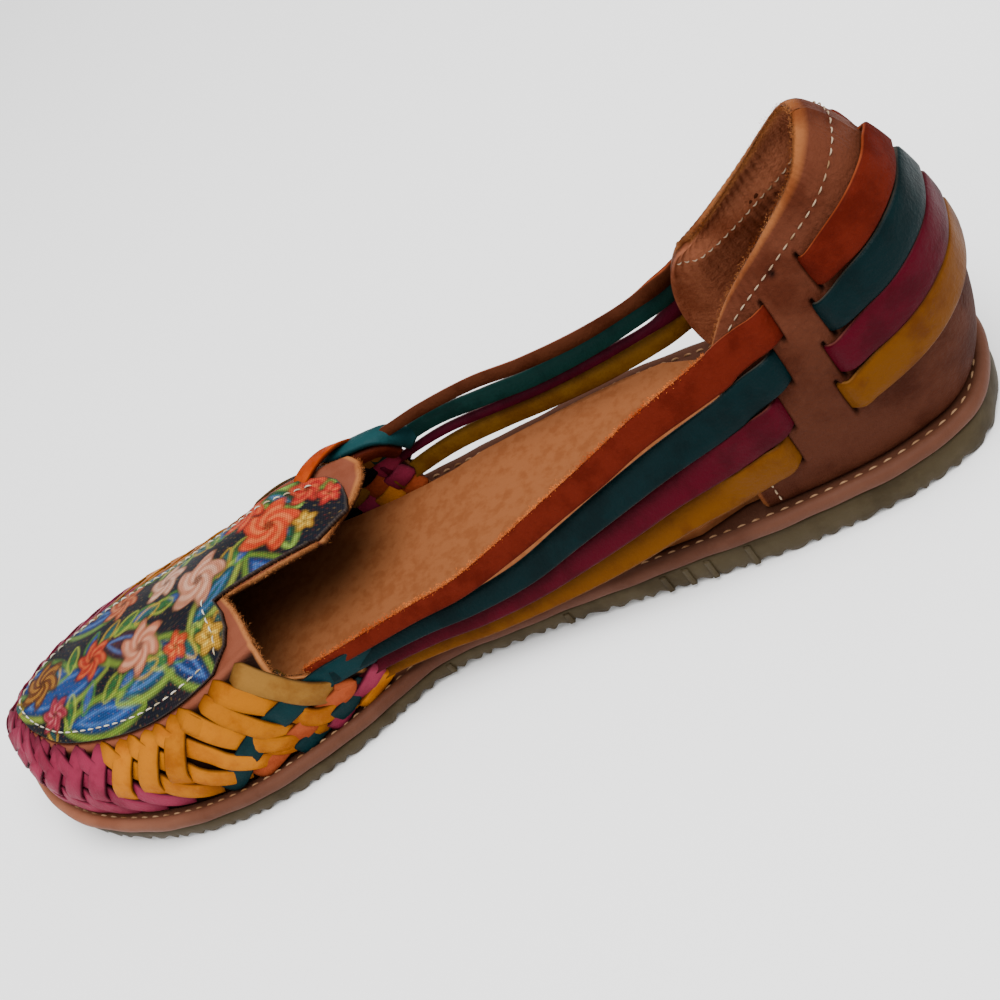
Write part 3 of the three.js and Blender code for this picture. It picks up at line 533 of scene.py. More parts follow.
RUST, TEAL, MAGENTA, OCHRE = "4a1207", "021416", "3b010e", "563003"
M = {
    "sole": material("sole_leather", "6c4230", "ded2c8", "140c08", 0.62, 700, 0.3, 34, True, 0.1),
    "foot": material("footbed_leather", "78482a", "ece2d8", "0c0804", 0.75, 700, 0.2, 330),
    "rubber": material("sole_rubber", "382e1c", "d0c8b4", "100e08", 0.55, 420, 0.2, 90, shine=0.1),
    "counter": material("counter_leather", "452417", "ccb6a8", "100805", 0.66, 1000, 0.65, 70, True),
    "vamp": material("vamp_leather", "6b3a29", "e0d0c6", "0a0603", 0.68, 1100, 0.35, 60, True),
    "print": material("apron_cloth", "202838", "e8e4e0", "080808", 0.6, 1500, 0.12, 80, True, 0.06,
                      weave=520),
    "fibre": material("raw_edge_fibre", "8a5630", "c09878", "201810", 0.9, 900, 0, 120),
    "rust_fibre": material("rust_edge_fibre", "b8602a", "d0a080", "201008", 0.9, 900, 0, 120),
}
for kind, code, patch, fleck, rough, bump, patches, shine in (
        ("rust", RUST, "dccabe", "100502", 0.68, 0.4, 130, 0.03),
        ("teal", TEAL, "ccd8d8", "000404", 0.46, 0.3, 130, 0.05),
        ("magenta", MAGENTA, "dcccd2", "080104", 0.5, 0.3, 130, 0.05),
        ("ochre", OCHRE, "dccbb4", "0c0601", 0.52, 0.3, 110, 0.05)):
    M[kind] = material(kind + "_leather", code, patch, fleck, rough, 1300, bump, patches, True, shine)
for name, code, patch in (("pale_thread", "94806a", "c0a890"), ("sole_thread", "8a6a4e", "c0a890"),
                          ("white_thread", "b4ad9c", "c8bca8")):
    M[name] = material(name, code, patch, "101010", 0.7, 2500, 0.3, 200)


# Camera: the angle of the photograph, turned with it

A, E, ROLL, DIST, FOCUS = -0.458182, 0.693732, -0.234008, 332.8, 1503.655
TURN = math.radians(28)
back = Vector((math.sin(A) * math.cos(E), math.cos(A) * math.cos(E), math.sin(E)))
forward = -back
right = forward.cross(Vector((0, 0, 1))).normalized()
up = right.cross(forward)
rr = math.cos(ROLL) * right + math.sin(ROLL) * up
uu = -math.sin(ROLL) * right + math.cos(ROLL) * up
place = Vector((125, 0, 20)) + back * DIST + rr * 19.974218 - uu * 2.807119
across = rr * math.cos(TURN) - uu * math.sin(TURN)
upright = rr * math.sin(TURN) + uu * math.cos(TURN)
place += upright * 0.6 - across * 1.75
cam = bpy.data.cameras.new("camera")
cam.sensor_width = 36
cam.sensor_fit = "HORIZONTAL"
cam.lens = FOCUS / 1000 * 36
cam.clip_start = 0.01
cam.clip_end = 20
camera = add_object("camera", cam)
turn = Matrix((across, upright, -forward)).transposed().to_4x4()
camera.matrix_world = Matrix.Translation(Vector(to_frame(tuple(place)))) @ turn
bpy.context.scene.camera = camera


# Outsole with its fine scalloped tread

def plate(rings, steps):
    """A slab inside the outline, from rings that give an inset and a level at each x."""
    places = np.arange(steps) / steps
    edge, _ = along_outline(places)
    pts = []
    for inset, level in rings:
        p, _ = rim(places, inset(edge[:, 0]))
        pts.append(np.column_stack([p, level(p[:, 0])]))
    faces = grid_faces(len(rings), steps, closed_columns=True, flip=True).tolist()
    for r, flip in ((0, False), (len(rings) - 1, True)):
        at = lambda k: r * steps + k % steps
        for k in range(steps // 2):
            q = [at(k), at(k + 1), at(steps - k - 1), at(steps - k)]
            q = [v for i, v in enumerate(q) if v not in q[:i]]
            faces.append(q[::-1] if flip else q)
    return np.vstack(pts), faces


TREAD_PITCH, TREAD_DEPTH = 3.9, 1.15
RIBS = (0.232, 0.268, 0.288, 0.308, 0.4, 0.52)


def scallop(x):
    wobble = 0.7 * np.sin(x * 0.31) + 0.5 * np.sin(x * 0.83 + 1)
    return np.abs(np.cos(math.pi * (x + wobble) / TREAD_PITCH)) ** 2.2


parts = [plate([
    (lambda x: 2.2, lambda x: ground(x) + TREAD_DEPTH * scallop(x)),
    (lambda x: 1, lambda x: ground(x) + 0.35 + TREAD_DEPTH * scallop(x)),
    (lambda x: 0.8, lambda x: ground(x) + 1.9 + 0.15 * scallop(x)),
    (lambda x: 0.7, lambda x: outsole_top(x) - 0.3),
    (lambda x: 1.2, outsole_top),
], 1440)]
for s in RIBS:
    foot, _ = rim(place_at(s * SOLE_LENGTH, 1), 0.9)
    zs = np.linspace(ground(foot[0]) + 1, outsole_top(foot[0]) - 0.5, 12)
    path = np.column_stack([np.tile(foot, (12, 1)), zs])
    parts.append(ribbon(path, (1, 0, 0), 1.3, 1.3, crown=0.4))
mesh_piece("outsole_tread", *join(parts), M["rubber"], "outsole", "sole_rubber")


# Midsole with its rounded rim, footbed and sole stitches

def welt(inset, share):
    """A ring of the rim, by shares of its width and height, a little uneven by the outer edge."""
    wobble = lambda x: 0.12 * np.sin(x * 0.21) + 0.08 * np.sin(x * 0.57 + 2)
    return (lambda x: inset * RIM_WIDTH + wobble(x) * (inset < 0.3),
            lambda x: outsole_top(x) + mix(GAP, RIM_HEIGHT, share))


WELT = [(0.25, 0), (0.12, 0.1), (0.03, 0.2), (0, 0.4), (0.01, 0.6), (0.06, 0.76), (0.15, 0.88),
        (0.27, 0.96), (0.42, 1), (0.6, 0.99), (0.76, 0.92)]
# painted light and shade along the midsole: darker at the heel and waist, lighter towards the toe
SOLE_LIGHT_AND_SHADE = ([0, 60, 130, 180, 205, 225, 243], [0.56, 0.48, 0.48, 0.52, 0.8, 1.3, 1.6])
points, faces = plate([welt(i, k) for i, k in WELT] + [(lambda x: RIM_WIDTH, channel)], 960)
tint = np.tile(colour("6c4230"), (len(points), 1))
tint[:, :3] *= np.interp(points[:, 0], *SOLE_LIGHT_AND_SHADE)[:, None]
mesh_piece("midsole_leather", points, faces, M["sole"], "midsole", "sole_leather", tint)

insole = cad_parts["insole"]
insole.data.materials.clear()
insole.data.materials.append(M["foot"])
insole.data.polygons.foreach_set("use_smooth", [True] * len(insole.data.polygons))

path, _ = rim(np.linspace(0.012, 0.988, 1500), RIM_WIDTH * 0.86)
path = np.column_stack([path, channel(path[:, 0]) + 0.25])
points, faces = stitches(path, (0, 0, 1), 2.1, 1, 0.26)
mesh_piece("sole_stitches", points, faces, M["sole_thread"], slot="sole_leather")


# Vamp wall

FOOT_T = np.linspace(0.2, 0.8, 1201)
FOOT_P, _ = rim(FOOT_T, VAMP_INSET)
FOOT_L = np.r_[0, np.cumsum(np.hypot(*np.diff(FOOT_P, axis=0).T))]
TOE_L = np.interp(0.5, FOOT_T, FOOT_L)


def place_of(length):
    """The place round the outline at a length from the tip of the toe, the inner side being +."""
    return np.interp(TOE_L - np.asarray(length), FOOT_L, FOOT_T)


def apron_edge(t):
    return look_up(APRON_EDGE, 1, t)


def folded(columns, rows, up_at, rear_at, outer, inner):
    """Grid of a wall over the ridge: its places, and its outer and inner skins."""
    c = np.arange(columns + 1)
    side = np.where(c <= columns // 2, 1, -1)
    k = np.where(side > 0, c, columns - c) / (columns // 2)
    t = np.empty((len(rows), columns + 1))
    for i, row in enumerate(rows):
        rears = {s: place_at(rear_at(row, s) * SOLE_LENGTH, s) for s in (1, -1)}
        t[i] = mix(np.where(side > 0, rears[1], rears[-1]), 0.5, k)
    u = up_at(t, np.broadcast_to(rows[:, None], t.shape))
    return t, [vamp_out(t, u, outer(t, u)), vamp_out(t, u, inner(t, u))]


def from_rear(shape):
    """How many columns a place of the grid is from the wall's rear edge."""
    c = np.arange(shape[1])
    return np.minimum(c, c[::-1])[None, :, None]


def woven(t, u):
    """1 in the woven part of the vamp and 0 by the apron's edge."""
    return smooth((apron_edge(t) - 0.035 - u) / 0.03)


def sink(t, u):
    """How far the wall lies below the form, under the strips and under the apron."""
    past = u - apron_edge(t) + 0.02
    return np.where(past > 0, -0.95 * smooth(past / 0.02), -0.55 * woven(t, u))


rows = np.unique(np.concatenate([np.linspace(0, 1, 90), THROAT[:, 0]]))
t, skins = folded(360, rows, lambda t, r: r, lambda r, s: straight(THROAT, 1 if s > 0 else 2, r),
                  sink, lambda t, u: np.minimum(0, sink(t, u)) - VAMP_WALL + 0.4)
tan, gap_shadow, shadow_brown, raw = (colour(c) for c in ("6b3a29", "160804", "2a140a", "8a5630"))
full = t.shape + (4,)
# painted shadow: the woven part of the wall, seen in the gaps between the strips, is dark
outer_tint = mix(np.broadcast_to(tan, full), gap_shadow, woven(t, rows[:, None])[..., None])
outer_tint = np.where(from_rear(t.shape) < 2, raw, outer_tint)
# the wall's inner skin is painted dark, as the shade inside the toe
shell_piece("vamp_wall", M["vamp"], "vamp", "woven_leather", t.shape, skins,
            [outer_tint, np.broadcast_to(shadow_brown, full)])


# Woven strips

strips = {k: [] for k in ("magenta", "ochre", "teal", "rust", "golden", "navy", "orange")}
BASE = {"magenta": "762238", "ochre": "985802", "teal": "052225", "rust": "823a1e", "golden": "745020",
        "navy": "06070b", "orange": "9a3a0a"}
MADE_OF = {"golden": "ochre", "navy": "teal", "orange": "rust"}
# how light a strip is round its section: painted light on its face, painted shade on its back and rounded
# sides, where its real cut edges are also dark
STRIP_SHADE = np.array([0.2, 0.42, 0.9, 1, 1.03, 1, 0.9, 0.42] + [0.2] * 6)
STRIP = 1.0  # thickness


def add_strip(kind, lengths, ups, offsets, width, steps=44, inside=False):
    """Lays a strip on the vamp through rows of length, height and offset, in its own shade."""
    s = np.linspace(0, 1, steps)
    table = np.column_stack([np.linspace(0, 1, len(lengths)), lengths, ups, offsets])
    l, h, o = (look_up(table, j, s) for j in (1, 2, 3))
    t = place_of(l)
    centre = vamp_out(t, h, o + STRIP / 2)
    n = normal(vamp, t, np.minimum(h, VAMP_TOP))
    wide = np.cross(n if inside else -n, unit(np.gradient(centre, axis=0)))
    w = width * np.interp(s, [0, 0.06, 0.9, 1], [0.72, 1, 1, 0.7])
    points, faces = ribbon(centre, wide, w, STRIP, crown=0.04)
    shade = colour(BASE[kind]) * rng.uniform(0.86, 1.12)
    # painted shade: each strip darker towards its ends, where it goes under the others
    end_shade = np.interp(s, [0, 0.1, 0.85, 1], [0.5, 1, 1, 0.55])
    tint = np.ones((len(points), 4))
    tint[:, :3] = shade[:3] * np.outer(end_shade, STRIP_SHADE).reshape(-1, 1)
    strips[kind].append((points, faces, tint))


UNDER, OVER, PITCH = -0.75, 0.1, 8.0
# strips that run down and back behind the toe, as kind, width and rows of length and height
BACKS = [
    ("golden", 6, [(93, 0.53), (98.5, 0.43), (104.2, 0.34), (109.5, 0.25), (114, 0.16)]),
    ("ochre", 5.4, [(86.6, 0.525), (91.8, 0.42), (97.6, 0.32), (103.6, 0.172), (110, 0.1), (114, 0.05)]),
    ("ochre", 4.8, [(83.4, 0.5), (87.6, 0.38), (92.6, 0.26), (97.4, 0.15), (104.5, 0.05)]),
    ("ochre", 5.4, [(76.8, 0.49), (81.6, 0.38), (86.6, 0.27), (92.4, 0.14), (98.6, 0.05)]),
]
# strips that come forward from the straps: the start on each side, then what both sides share
FRONTS = [
    ("teal", 5.6, {1: [(124, 0.285), (119.5, 0.305), (114.5, 0.32)], -1: [(129, 0.36), (121, 0.345)]},
     [(109.3, 0.318), (98.4, 0.266), (87.4, 0.192), (79.6, 0.085), (76, 0.05)]),
    ("rust", 5.2, {1: [(113.6, 0.25), (111.3, 0.2)], -1: [(127.5, 0.46), (120.5, 0.34), (112, 0.215)]},
     [(99, 0.129), (88.5, 0.066), (84, 0.04)]),
    ("teal", 4.8, {1: [(117, 0.18)], -1: [(123, 0.22)]}, [(110.2, 0.108), (99, 0.05), (95, 0.03)]),
    ("magenta", 4.6, {1: [(121.5, 0.19), (116.5, 0.13)], -1: [(129.5, 0.26), (120, 0.15)]},
     [(109.5, 0.066), (104, 0.03)]),
    ("ochre", 4.2, {1: [(122, 0.1), (117.5, 0.055)], -1: [(130, 0.16), (120, 0.075)]}, [(112, 0.02)]),
]
# weights of length and height, for the distance between strips in millimetres
CROSSING = np.array([1, 44])


def dense(rows):
    """Rows of length and height, with many more of them on a smooth curve."""
    table = np.column_stack([np.linspace(0, 1, len(rows)), rows])
    return np.column_stack([look_up(table, j, np.linspace(0, 1, 40)) for j in (1, 2)])


def diagonal(mirror, at, run, heights, drift, offsets, ochre_from, widths):
    """A strip of the toe that starts at a length by the apron's edge and runs down to the sole."""
    top = apron_edge(place_of(mirror * at)) - 0.03
    hs = np.array([max(top, heights[0]), *heights[1:]])
    ls = at + run * (heights[0] + 0.01 - hs) + np.array(drift)
    kind = "magenta" if at < ochre_from else "ochre"
    add_strip(kind, mirror * ls, hs, offsets, widths[kind == "ochre"])


for mirror in (1, -1):
    for a in 54.1 + PITCH * np.arange(-8, 4):
        # down and back, over the others at top and bottom
        diagonal(mirror, a, 46 if a > 6 else 34, (0.45, 0.43, 0.36, 0.27, 0.2, 0.13, 0.06),
                 (0, 0, 0, 0, 0, 1, 3), (UNDER, OVER, UNDER, UNDER, OVER, OVER, UNDER - 0.1),
                 52, (4.1, 4.6))
        # down and forward, over the others in the middle
        b = a + 5.2
        if 0 <= b <= 79:
            diagonal(mirror, b, -27, (0.47, 0.43, 0.36, 0.28, 0.21, 0.15), (0, 0, 0, 0, 1.2, 3),
                     (UNDER, 0, OVER + 0.35, OVER + 0.35, 0, UNDER), 53, (4.8, 5.3))
    # the chequered rear, where each strip goes over or under the others in turn
    backs = [(kind, width, dense(rows)) for kind, width, rows in BACKS]
    fronts = [(kind, width, dense(start[mirror] + rows)) for kind, width, start, rows in FRONTS]
    for group, others, first_over in ((backs, fronts, 0), (fronts, backs, 1)):
        for j, (kind, width, line) in enumerate(group):
            off = np.full(len(line), -0.2)
            for m, (_, _, other) in enumerate(others):
                apart = np.linalg.norm((line[:, None] - other[None]) * CROSSING, axis=2).min(1)
                pull = np.exp(-((apart / 3.4) ** 2))
                off = off + pull * (0.5 if (j + m) % 2 == first_over else -0.75)
            off[0] = off[-1] = -0.8
            pick = np.linspace(0, len(line) - 1, 20).astype(int)
            add_strip(kind, mirror * line[pick, 0], line[pick, 1], off[pick], width, steps=56)

# what shows of the strips inside the wall, row by row from the rear edge, and low to high
INSIDE = [
    "rust magenta magenta golden", "ochre rust navy rust", "magenta golden navy rust",
    "navy rust magenta navy", "rust teal golden magenta", "ochre magenta navy rust",
    "teal golden rust ochre", "magenta navy ochre teal",
]
for mirror, first in ((-1, (126, 125, 124, 122.5)), (1, (114, 112, 109, 99))):
    for i, column in enumerate(INSIDE):
        for j, kind in enumerate(column.split()):
            length, height = first[j] - 6.3 * i, 0.06 + 0.105 * j
            shift = 0.35 * ((i + j) % 2)
            add_strip(kind, mirror * (length + np.array([3.6, 1.8, 0, -1.8, -3.6])),
                      height + np.array([0.045, 0.02, 0, -0.015, -0.03]),
                      np.array([-2.5, -3, -3.2, -3, -2.5]) - shift, 5, steps=12, inside=True)
# a loop over the outer corner of the throat
add_strip("orange", [-121.5, -118, -113.5, -110], [0.45, 0.525, 0.6, 0.655],
          [0.2, 1.2, 0.8, -0.9], 5.2)
for kind, made in strips.items():
    mesh_piece("weave_" + kind, *join([m[:2] for m in made]), M[MADE_OF.get(kind, kind)],
               slot="woven_leather", tint=np.vstack([m[2] for m in made]))


def bound_edge(name, kind, code, path, ups, width):
    """A strip bound over an edge, through a few points and directions of its width."""
    d = np.linspace(0, 1, len(path))
    fine = np.linspace(0, 1, 60)
    table = np.column_stack([d, path, ups])
    p = np.column_stack([look_up(table, k, fine) for k in (1, 2, 3)])
    w = unit(np.column_stack([look_up(table, k, fine) for k in (4, 5, 6)]))
    pts, fcs = ribbon(p, w, width, 1.3, crown=0.6)
    # painted light and shade: the binding lightest on its face, darker at its edges and on its back
    shade = np.interp(np.arange(SECTION), [0, 2, 4, 6, 8, 13], [0.5, 0.9, 1, 0.9, 0.5, 0.5])
    tint = np.tile(colour(code), (len(pts), 1))
    tint[:, :3] *= np.tile(shade, len(fine))[:, None]
    mesh_piece(name, pts, fcs, M[kind], slot="woven_leather", tint=tint)


bound_edge("corner_teal", "teal", "0f3538",
           [(125, -27.4, 23), (127.6, -26.6, 27.6), (131.8, -25.7, 30.3), (137.2, -25.3, 31),
            (142.6, -25.2, 31), (148.5, -25.8, 29.8)],
           [(-0.6, -0.2, 0.7), (-0.5, -0.8, 0.5), (-0.1, -1, 0), (0, -1, -0.1), (0, -1, -0.1),
            (0, -1, -0.3)], 5)
bound_edge("corner_rust", "rust", "4a1a0e",
           [(129.8, -26.3, 22.5), (132.2, -24.7, 26.6), (137.5, -23.5, 28), (146, -22.8, 27.9)],
           [(-0.8, 0.35, 0.8), (-0.4, 0.35, 1), (0, 0.35, 1), (0, 0.35, 1)], 4.2)


# Apron with its made-up pattern of flowers and leaves

def soft(d, edge):
    """1 inside a shape and 0 outside, from a signed distance in millimetres."""
    return np.clip(0.5 - d / edge / 2, 0, 1)


def leaf(x, y, cx, cy, angle, length, width):
    """Signed distance from the rim of a leaf."""
    c, s = math.cos(angle), math.sin(angle)
    a = (x - cx) * c + (y - cy) * s
    b = -(x - cx) * s + (y - cy) * c
    k = np.clip(a / length, 0, 1)
    half = width / 2 * np.sin(math.pi * k) ** 0.8
    return np.where((a > 0) & (a < length), np.abs(b) - half, 9)


def bloom(d, angle, r, petals):
    """Signed distance from the rim of a bloom."""
    return d - r * (0.82 + 0.18 * np.cos(petals * (angle + 0.08 * d)))


# long leaves: place, angle, length, width, colours of the inside and of the border
SCROLLS = [
    (160, 2, 2.2, 30, 12, "1c3a78", "6f8f2c"), (236, 8, 3.05, 34, 12, "204684", "93a83a"),
    (218, 20, 2.95, 28, 9, "1c4a88", "7a9a30"), (200, 22, 3.35, 26, 9, "22506a", "8fae3c"),
    (243, -4, 2.8, 28, 10, "1f4688", "5f8a3c"), (208, 2, 2.65, 26, 10, "40202c", "84a238"),
    (186, 12, 2.3, 24, 9, "1a3568", "7c9a34"), (226, -12, 2.95, 26, 9, "1e4280", "6f9440"),
    (176, 16, 3.9, 20, 8, "1d5a66", "a0b040"), (206, -17, 3.2, 24, 8, "2a2030", "7f9f3a"),
    (180, -17, 2.9, 22, 8, "1c3a70", "8fb03c"), (192, -4, 4, 20, 8, "1f6a78", "9ab648"),
    (152, -20, 2.6, 16, 7, "2c6a2c", "8fc04c"), (147, -8, 5.6, 16, 7, "1f5a3a", "a0c850"),
    (140, -12, 4.9, 14, 6, "2c6a2c", "a0c850"), (149, 4, 4.9, 14, 6, "1f5a3a", "a0c850"),
    (146, -17, 3.3, 12, 6, "1f4a80", "8fb03c"),
]
# blooms: place, radius, petals, colours of the petals and of their rings
BLOOMS = [
    (155, -5, 8.2, 5, "d8401c", "f07840"), (163, -14, 6.8, 6, "c8321c", "f06a34"),
    (146, -13, 5, 5, "c42c24", "e8683c"), (140, -9, 3.4, 5, "c42c24", "e8683c"),
    (174, 2, 8.4, 5, "d08868", "f0b898"), (192, 11, 7.4, 6, "c87454", "eaa884"),
    (209, 6, 5.8, 6, "b8321e", "e46a38"), (187, -6, 6.2, 5, "d09070", "f0c0a0"),
    (228, 3, 7, 6, "6a3c1c", "b0762c"), (203, -9, 6, 6, "b4502c", "e08858"),
    (236, -6, 4.6, 5, "b4521c", "dc9038"), (170, 19, 4, 5, "c89020", "f0c850"),
    (146, -3, 3, 5, "c89020", "f0c850"), (221, 15, 4.6, 6, "a02a3c", "d86a70"),
    (216, -14, 4.4, 5, "8a4a1c", "d09a40"), (180, 17, 3.8, 5, "d0401e", "f08a48"),
]


def paint(x, y):
    """Colours of the cloth at places along and across the apron, in millimetres."""
    wave = np.sin(x * 0.31 + 2 * np.sin(y * 0.2)) * np.cos(y * 0.37 - x * 0.11)
    col = mix(colour("161a24")[:3], colour("231c20")[:3], smooth(wave * 0.8)[..., None])

    def put(mask, code, strength=1):
        nonlocal col
        col = mix(col, colour(code)[:3], (mask * strength)[..., None])

    # scrolls of long leaves with bright borders
    for cx, cy, ang, length, width, inside, border in SCROLLS:
        d = leaf(x, y, cx, cy, ang, length, width)
        put(soft(np.abs(d + 0.2) - 0.75, 0.6), border, 0.9)
        put(soft(d + 1.5, 0.7), inside)
        put(soft(np.abs(d + 3) - 0.35, 0.4), "5a86c8", 0.7)
    # little leaves
    for k in range(60):
        cx, cy, ang = 146 + (k * 37 % 97), -22 + (k * 53 % 47), k * 2.399
        d = leaf(x, y, cx, cy, ang, 8.5, 3.6)
        put(soft(np.abs(d) - 0.4, 0.4), ("a8b83c", "4f8a3a", "c9a02c")[k % 3], 0.8)
        put(soft(d + 0.7, 0.4), ("2f6a34", "3a5c9e", "1e5a58")[k % 3], 0.9)
    # blooms with ringed petals
    for cx, cy, r, n, deep, pale in BLOOMS:
        far, angle = np.hypot(x - cx, y - cy), np.arctan2(y - cy, x - cx)
        d = bloom(far, angle, r, n)
        put(soft(d - 0.8, 0.7), "20140e", 0.8)
        put(soft(d, 0.6), deep)
        rings = 0.5 + 0.5 * np.sin(far * 2.1 + n * angle)
        put(soft(d + 0.6, 0.6) * smooth(rings * 1.4 - 0.3), pale, 0.85)
        put(soft(far - r * 0.18, 0.4), "3a1208", 0.7)
    # fine dots and mottling
    dots = np.sin(x * 2.3 + np.sin(y * 1.7)) * np.sin(y * 2.1 + np.cos(x * 1.3))
    put(smooth((dots - 0.8) / 0.2), "c8a050", 0.3)
    put(smooth((-dots - 0.8) / 0.2), "8a3020", 0.4)
    return col * 0.62


# up, and along on the outer side
FAR_REAR = ((0, 0.1, 0.2, 0.3, 0.5, 0.7, 0.78, 1), (0.6, 0.572, 0.56, 0.555, 0.55, 0.549, 0.558, 0.578))
t, skins = folded(
    500, np.linspace(0, 1, 90), lambda t, r: mix(apron_edge(t), 1, r),
    lambda r, s: straight(APRON_REAR, 1, r) if s > 0 else np.interp(r, *FAR_REAR),
    lambda t, u: 0.5, lambda t, u: -0.7)
full = t.shape + (4,)
tint = np.ones(full)
tint[..., :3] = paint(skins[0][..., 0], skins[0][..., 1])
rimmed = (from_rear(t.shape) < 1) | (np.arange(len(t)) < 1)[:, None, None]
shell_piece("apron_cloth", M["print"], "apron", "printed_apron", t.shape, skins,
            [np.where(rimmed, colour("3c3430"), tint), np.broadcast_to(colour("3a2418"), full)])

# running stitch just inside the apron's edge and along its rear
t = np.linspace(place_at(0.70 * SOLE_LENGTH, 1), place_at(0.58 * SOLE_LENGTH, -1), 900)
rows = np.linspace(0.12, 0.92, 300)
rear_t = place_at(np.interp(rows, [0.12, 0.3, 0.7, 0.92], [0.682, 0.68, 0.692, 0.69]) * SOLE_LENGTH, 1)
points, faces = join([
    stitches(vamp_out(t, u, 0.55), normal(vamp, t, u), 1.9, 0.8, 0.2)
    for t, u in ((t, apron_edge(t) + 0.055), (rear_t, mix(apron_edge(rear_t), 1, rows)))])
mesh_piece("apron_stitches", points, faces, M["white_thread"], slot="printed_apron")

# raw fuzzy edge round the throat
parts = []
for side, col in ((1, 1), (-1, 2)):
    ups = np.linspace(0.36 if side > 0 else 0.3, 1, 400)
    t = place_at(straight(THROAT, col, ups) * SOLE_LENGTH, side)
    parts.append(fuzz(vamp_out(t, ups, -1.1), (-1, 0, 0.25), 1500, 0.9))
mesh_piece("throat_fibres", *join(parts), M["fibre"], slot="woven_leather", smooth_shade=False)


# Straps

LENGTH_OF_COUNTER = run_length(counter(np.linspace(0, 1, 21), 0.5))[-1]
STRAP_OUT = 0.35 + STRAP_THICKNESS / 2
# how each strap ends in the vamp: rise, offset from the wall, and the share of its width on the way
JOIN = {
    ("rust", 1): (0, -2.8, 0.9), ("teal", 1): (0.03, 0.4, 1), ("magenta", 1): (-0.03, -0.2, 0.95),
    ("ochre", 1): (-0.02, -0.1, 0.95), ("rust", -1): (0, 0.4, 0.62), ("teal", -1): (0, -2.9, 0.85),
    ("magenta", -1): (-0.02, -2.9, 0.5), ("ochre", -1): (-0.03, -2.9, 0.95),
}
STRAP_IN = -COUNTER_WALL - 0.8
SLOTS = []


def strap_side(side, kind, back, tip, edge, rear, front, heights):
    """Centre, width direction and width of one side of a strap, from the back into the vamp."""
    start, first = -side * 0.12, -0.09 if side > 0 else 0.24
    rise = np.array([(start, back), (first, back), rear, front, (1, edge)])
    bend = SLOT_BEND / LENGTH_OF_COUNTER
    depths = np.array([
        (start, STRAP_IN), (first, STRAP_IN), (first + bend, STRAP_OUT),
        (rear[0] - bend / 2, STRAP_OUT), (rear[0] + bend / 2, STRAP_IN),
        (front[0] - bend / 2, STRAP_IN), (front[0] + bend / 2, STRAP_OUT), (1, STRAP_OUT)])
    elbows = depths[1:-1, 0]
    free = [a for a in np.arange(-1, 16) / 16 if a > first and np.abs(a - elbows).min() > 0.6 * bend]
    rounds = np.array(sorted([start, 1, *elbows, *free]))
    ups = look_up(rise, 1, rounds)
    outs = np.interp(rounds, depths[:, 0], depths[:, 1])
    column = 1 if side > 0 else 2
    width_at = lambda x: STRAP_WIDTH * straight(STRAP_WIDTHS, column, x / SOLE_LENGTH)
    centre = counter_out(side * rounds, ups, outs)
    lean = unit(counter_out(side * rounds, np.minimum(1, ups + 0.06), outs)
                - counter_out(side * rounds, ups - 0.06, outs))
    for r in (first + bend / 2, rear[0], front[0]):
        h = look_up(rise, 1, r)
        c = counter(side * r, h)
        d = unit(counter(side * r, h + 0.05) - counter(side * r, h - 0.05))
        half_width = width_at(c[0]) / 2 + 0.9
        SLOTS.append((c - d * half_width, c + d * half_width))
    throat = straight(THROAT, column, max(0, tip - 0.05)) * SOLE_LENGTH
    end = vamp_out(place_at(throat - 4 * GAP, side), tip, -VAMP_WALL / 2)
    tilt = math.radians(TILT[side])
    lean_free = np.array([0, -side * math.sin(tilt), math.cos(tilt)])
    stations = np.array(SPAN_INNER if side > 0 else SPAN_OUTER) * SOLE_LENGTH
    k = (stations - centre[-1, 0]) / (end[0] - centre[-1, 0])
    levels = np.array(heights) * COUNTER_HEIGHT
    span = np.column_stack([stations, mix(centre[-1, 1], end[1], k), levels])
    lift, depth, free_width = JOIN[kind, side]
    t_in, up_in = place_at(throat + 5.5, side), tip + lift
    tucked = vamp_out(t_in, up_in, depth)
    along_wall = unit(vamp(t_in, up_in + 0.05) - vamp(t_in, up_in - 0.05))
    path = np.vstack([centre, span, end + (tucked - end) * 0.25, tucked])
    leans = np.vstack([lean, np.tile(lean_free, (len(span) + 1, 1)), along_wall])
    swell = np.interp(rounds, [first + bend / 2, first + 3 * bend, rear[0] - 3 * bend,
                               rear[0] - bend / 2], [0, 0.32, 0.32, 0.06])
    widths = np.concatenate([width_at(centre[:, 0]) * (1 + swell), width_at(stations) * free_width,
                             [width_at(end[0]) * free_width, width_at(end[0]) * 0.8]])
    return path, leans, widths


def refine(path, leans, widths):
    """The same path with many more stops, by a smooth curve through them."""
    lengths = np.linalg.norm(np.diff(path, axis=0), axis=1)
    d = np.r_[0, np.cumsum(np.sqrt(lengths))]
    fine = np.concatenate([np.linspace(d[i], d[i + 1], max(3, int(lengths[i] / 0.9)), endpoint=False)
                           for i in range(len(lengths))] + [[d[-1]]])
    table = np.column_stack([d, path, leans, widths])
    cols = [look_up(table, j, fine) for j in range(1, 8)]
    return np.column_stack(cols[:3]), unit(np.column_stack(cols[3:6])), cols[6]


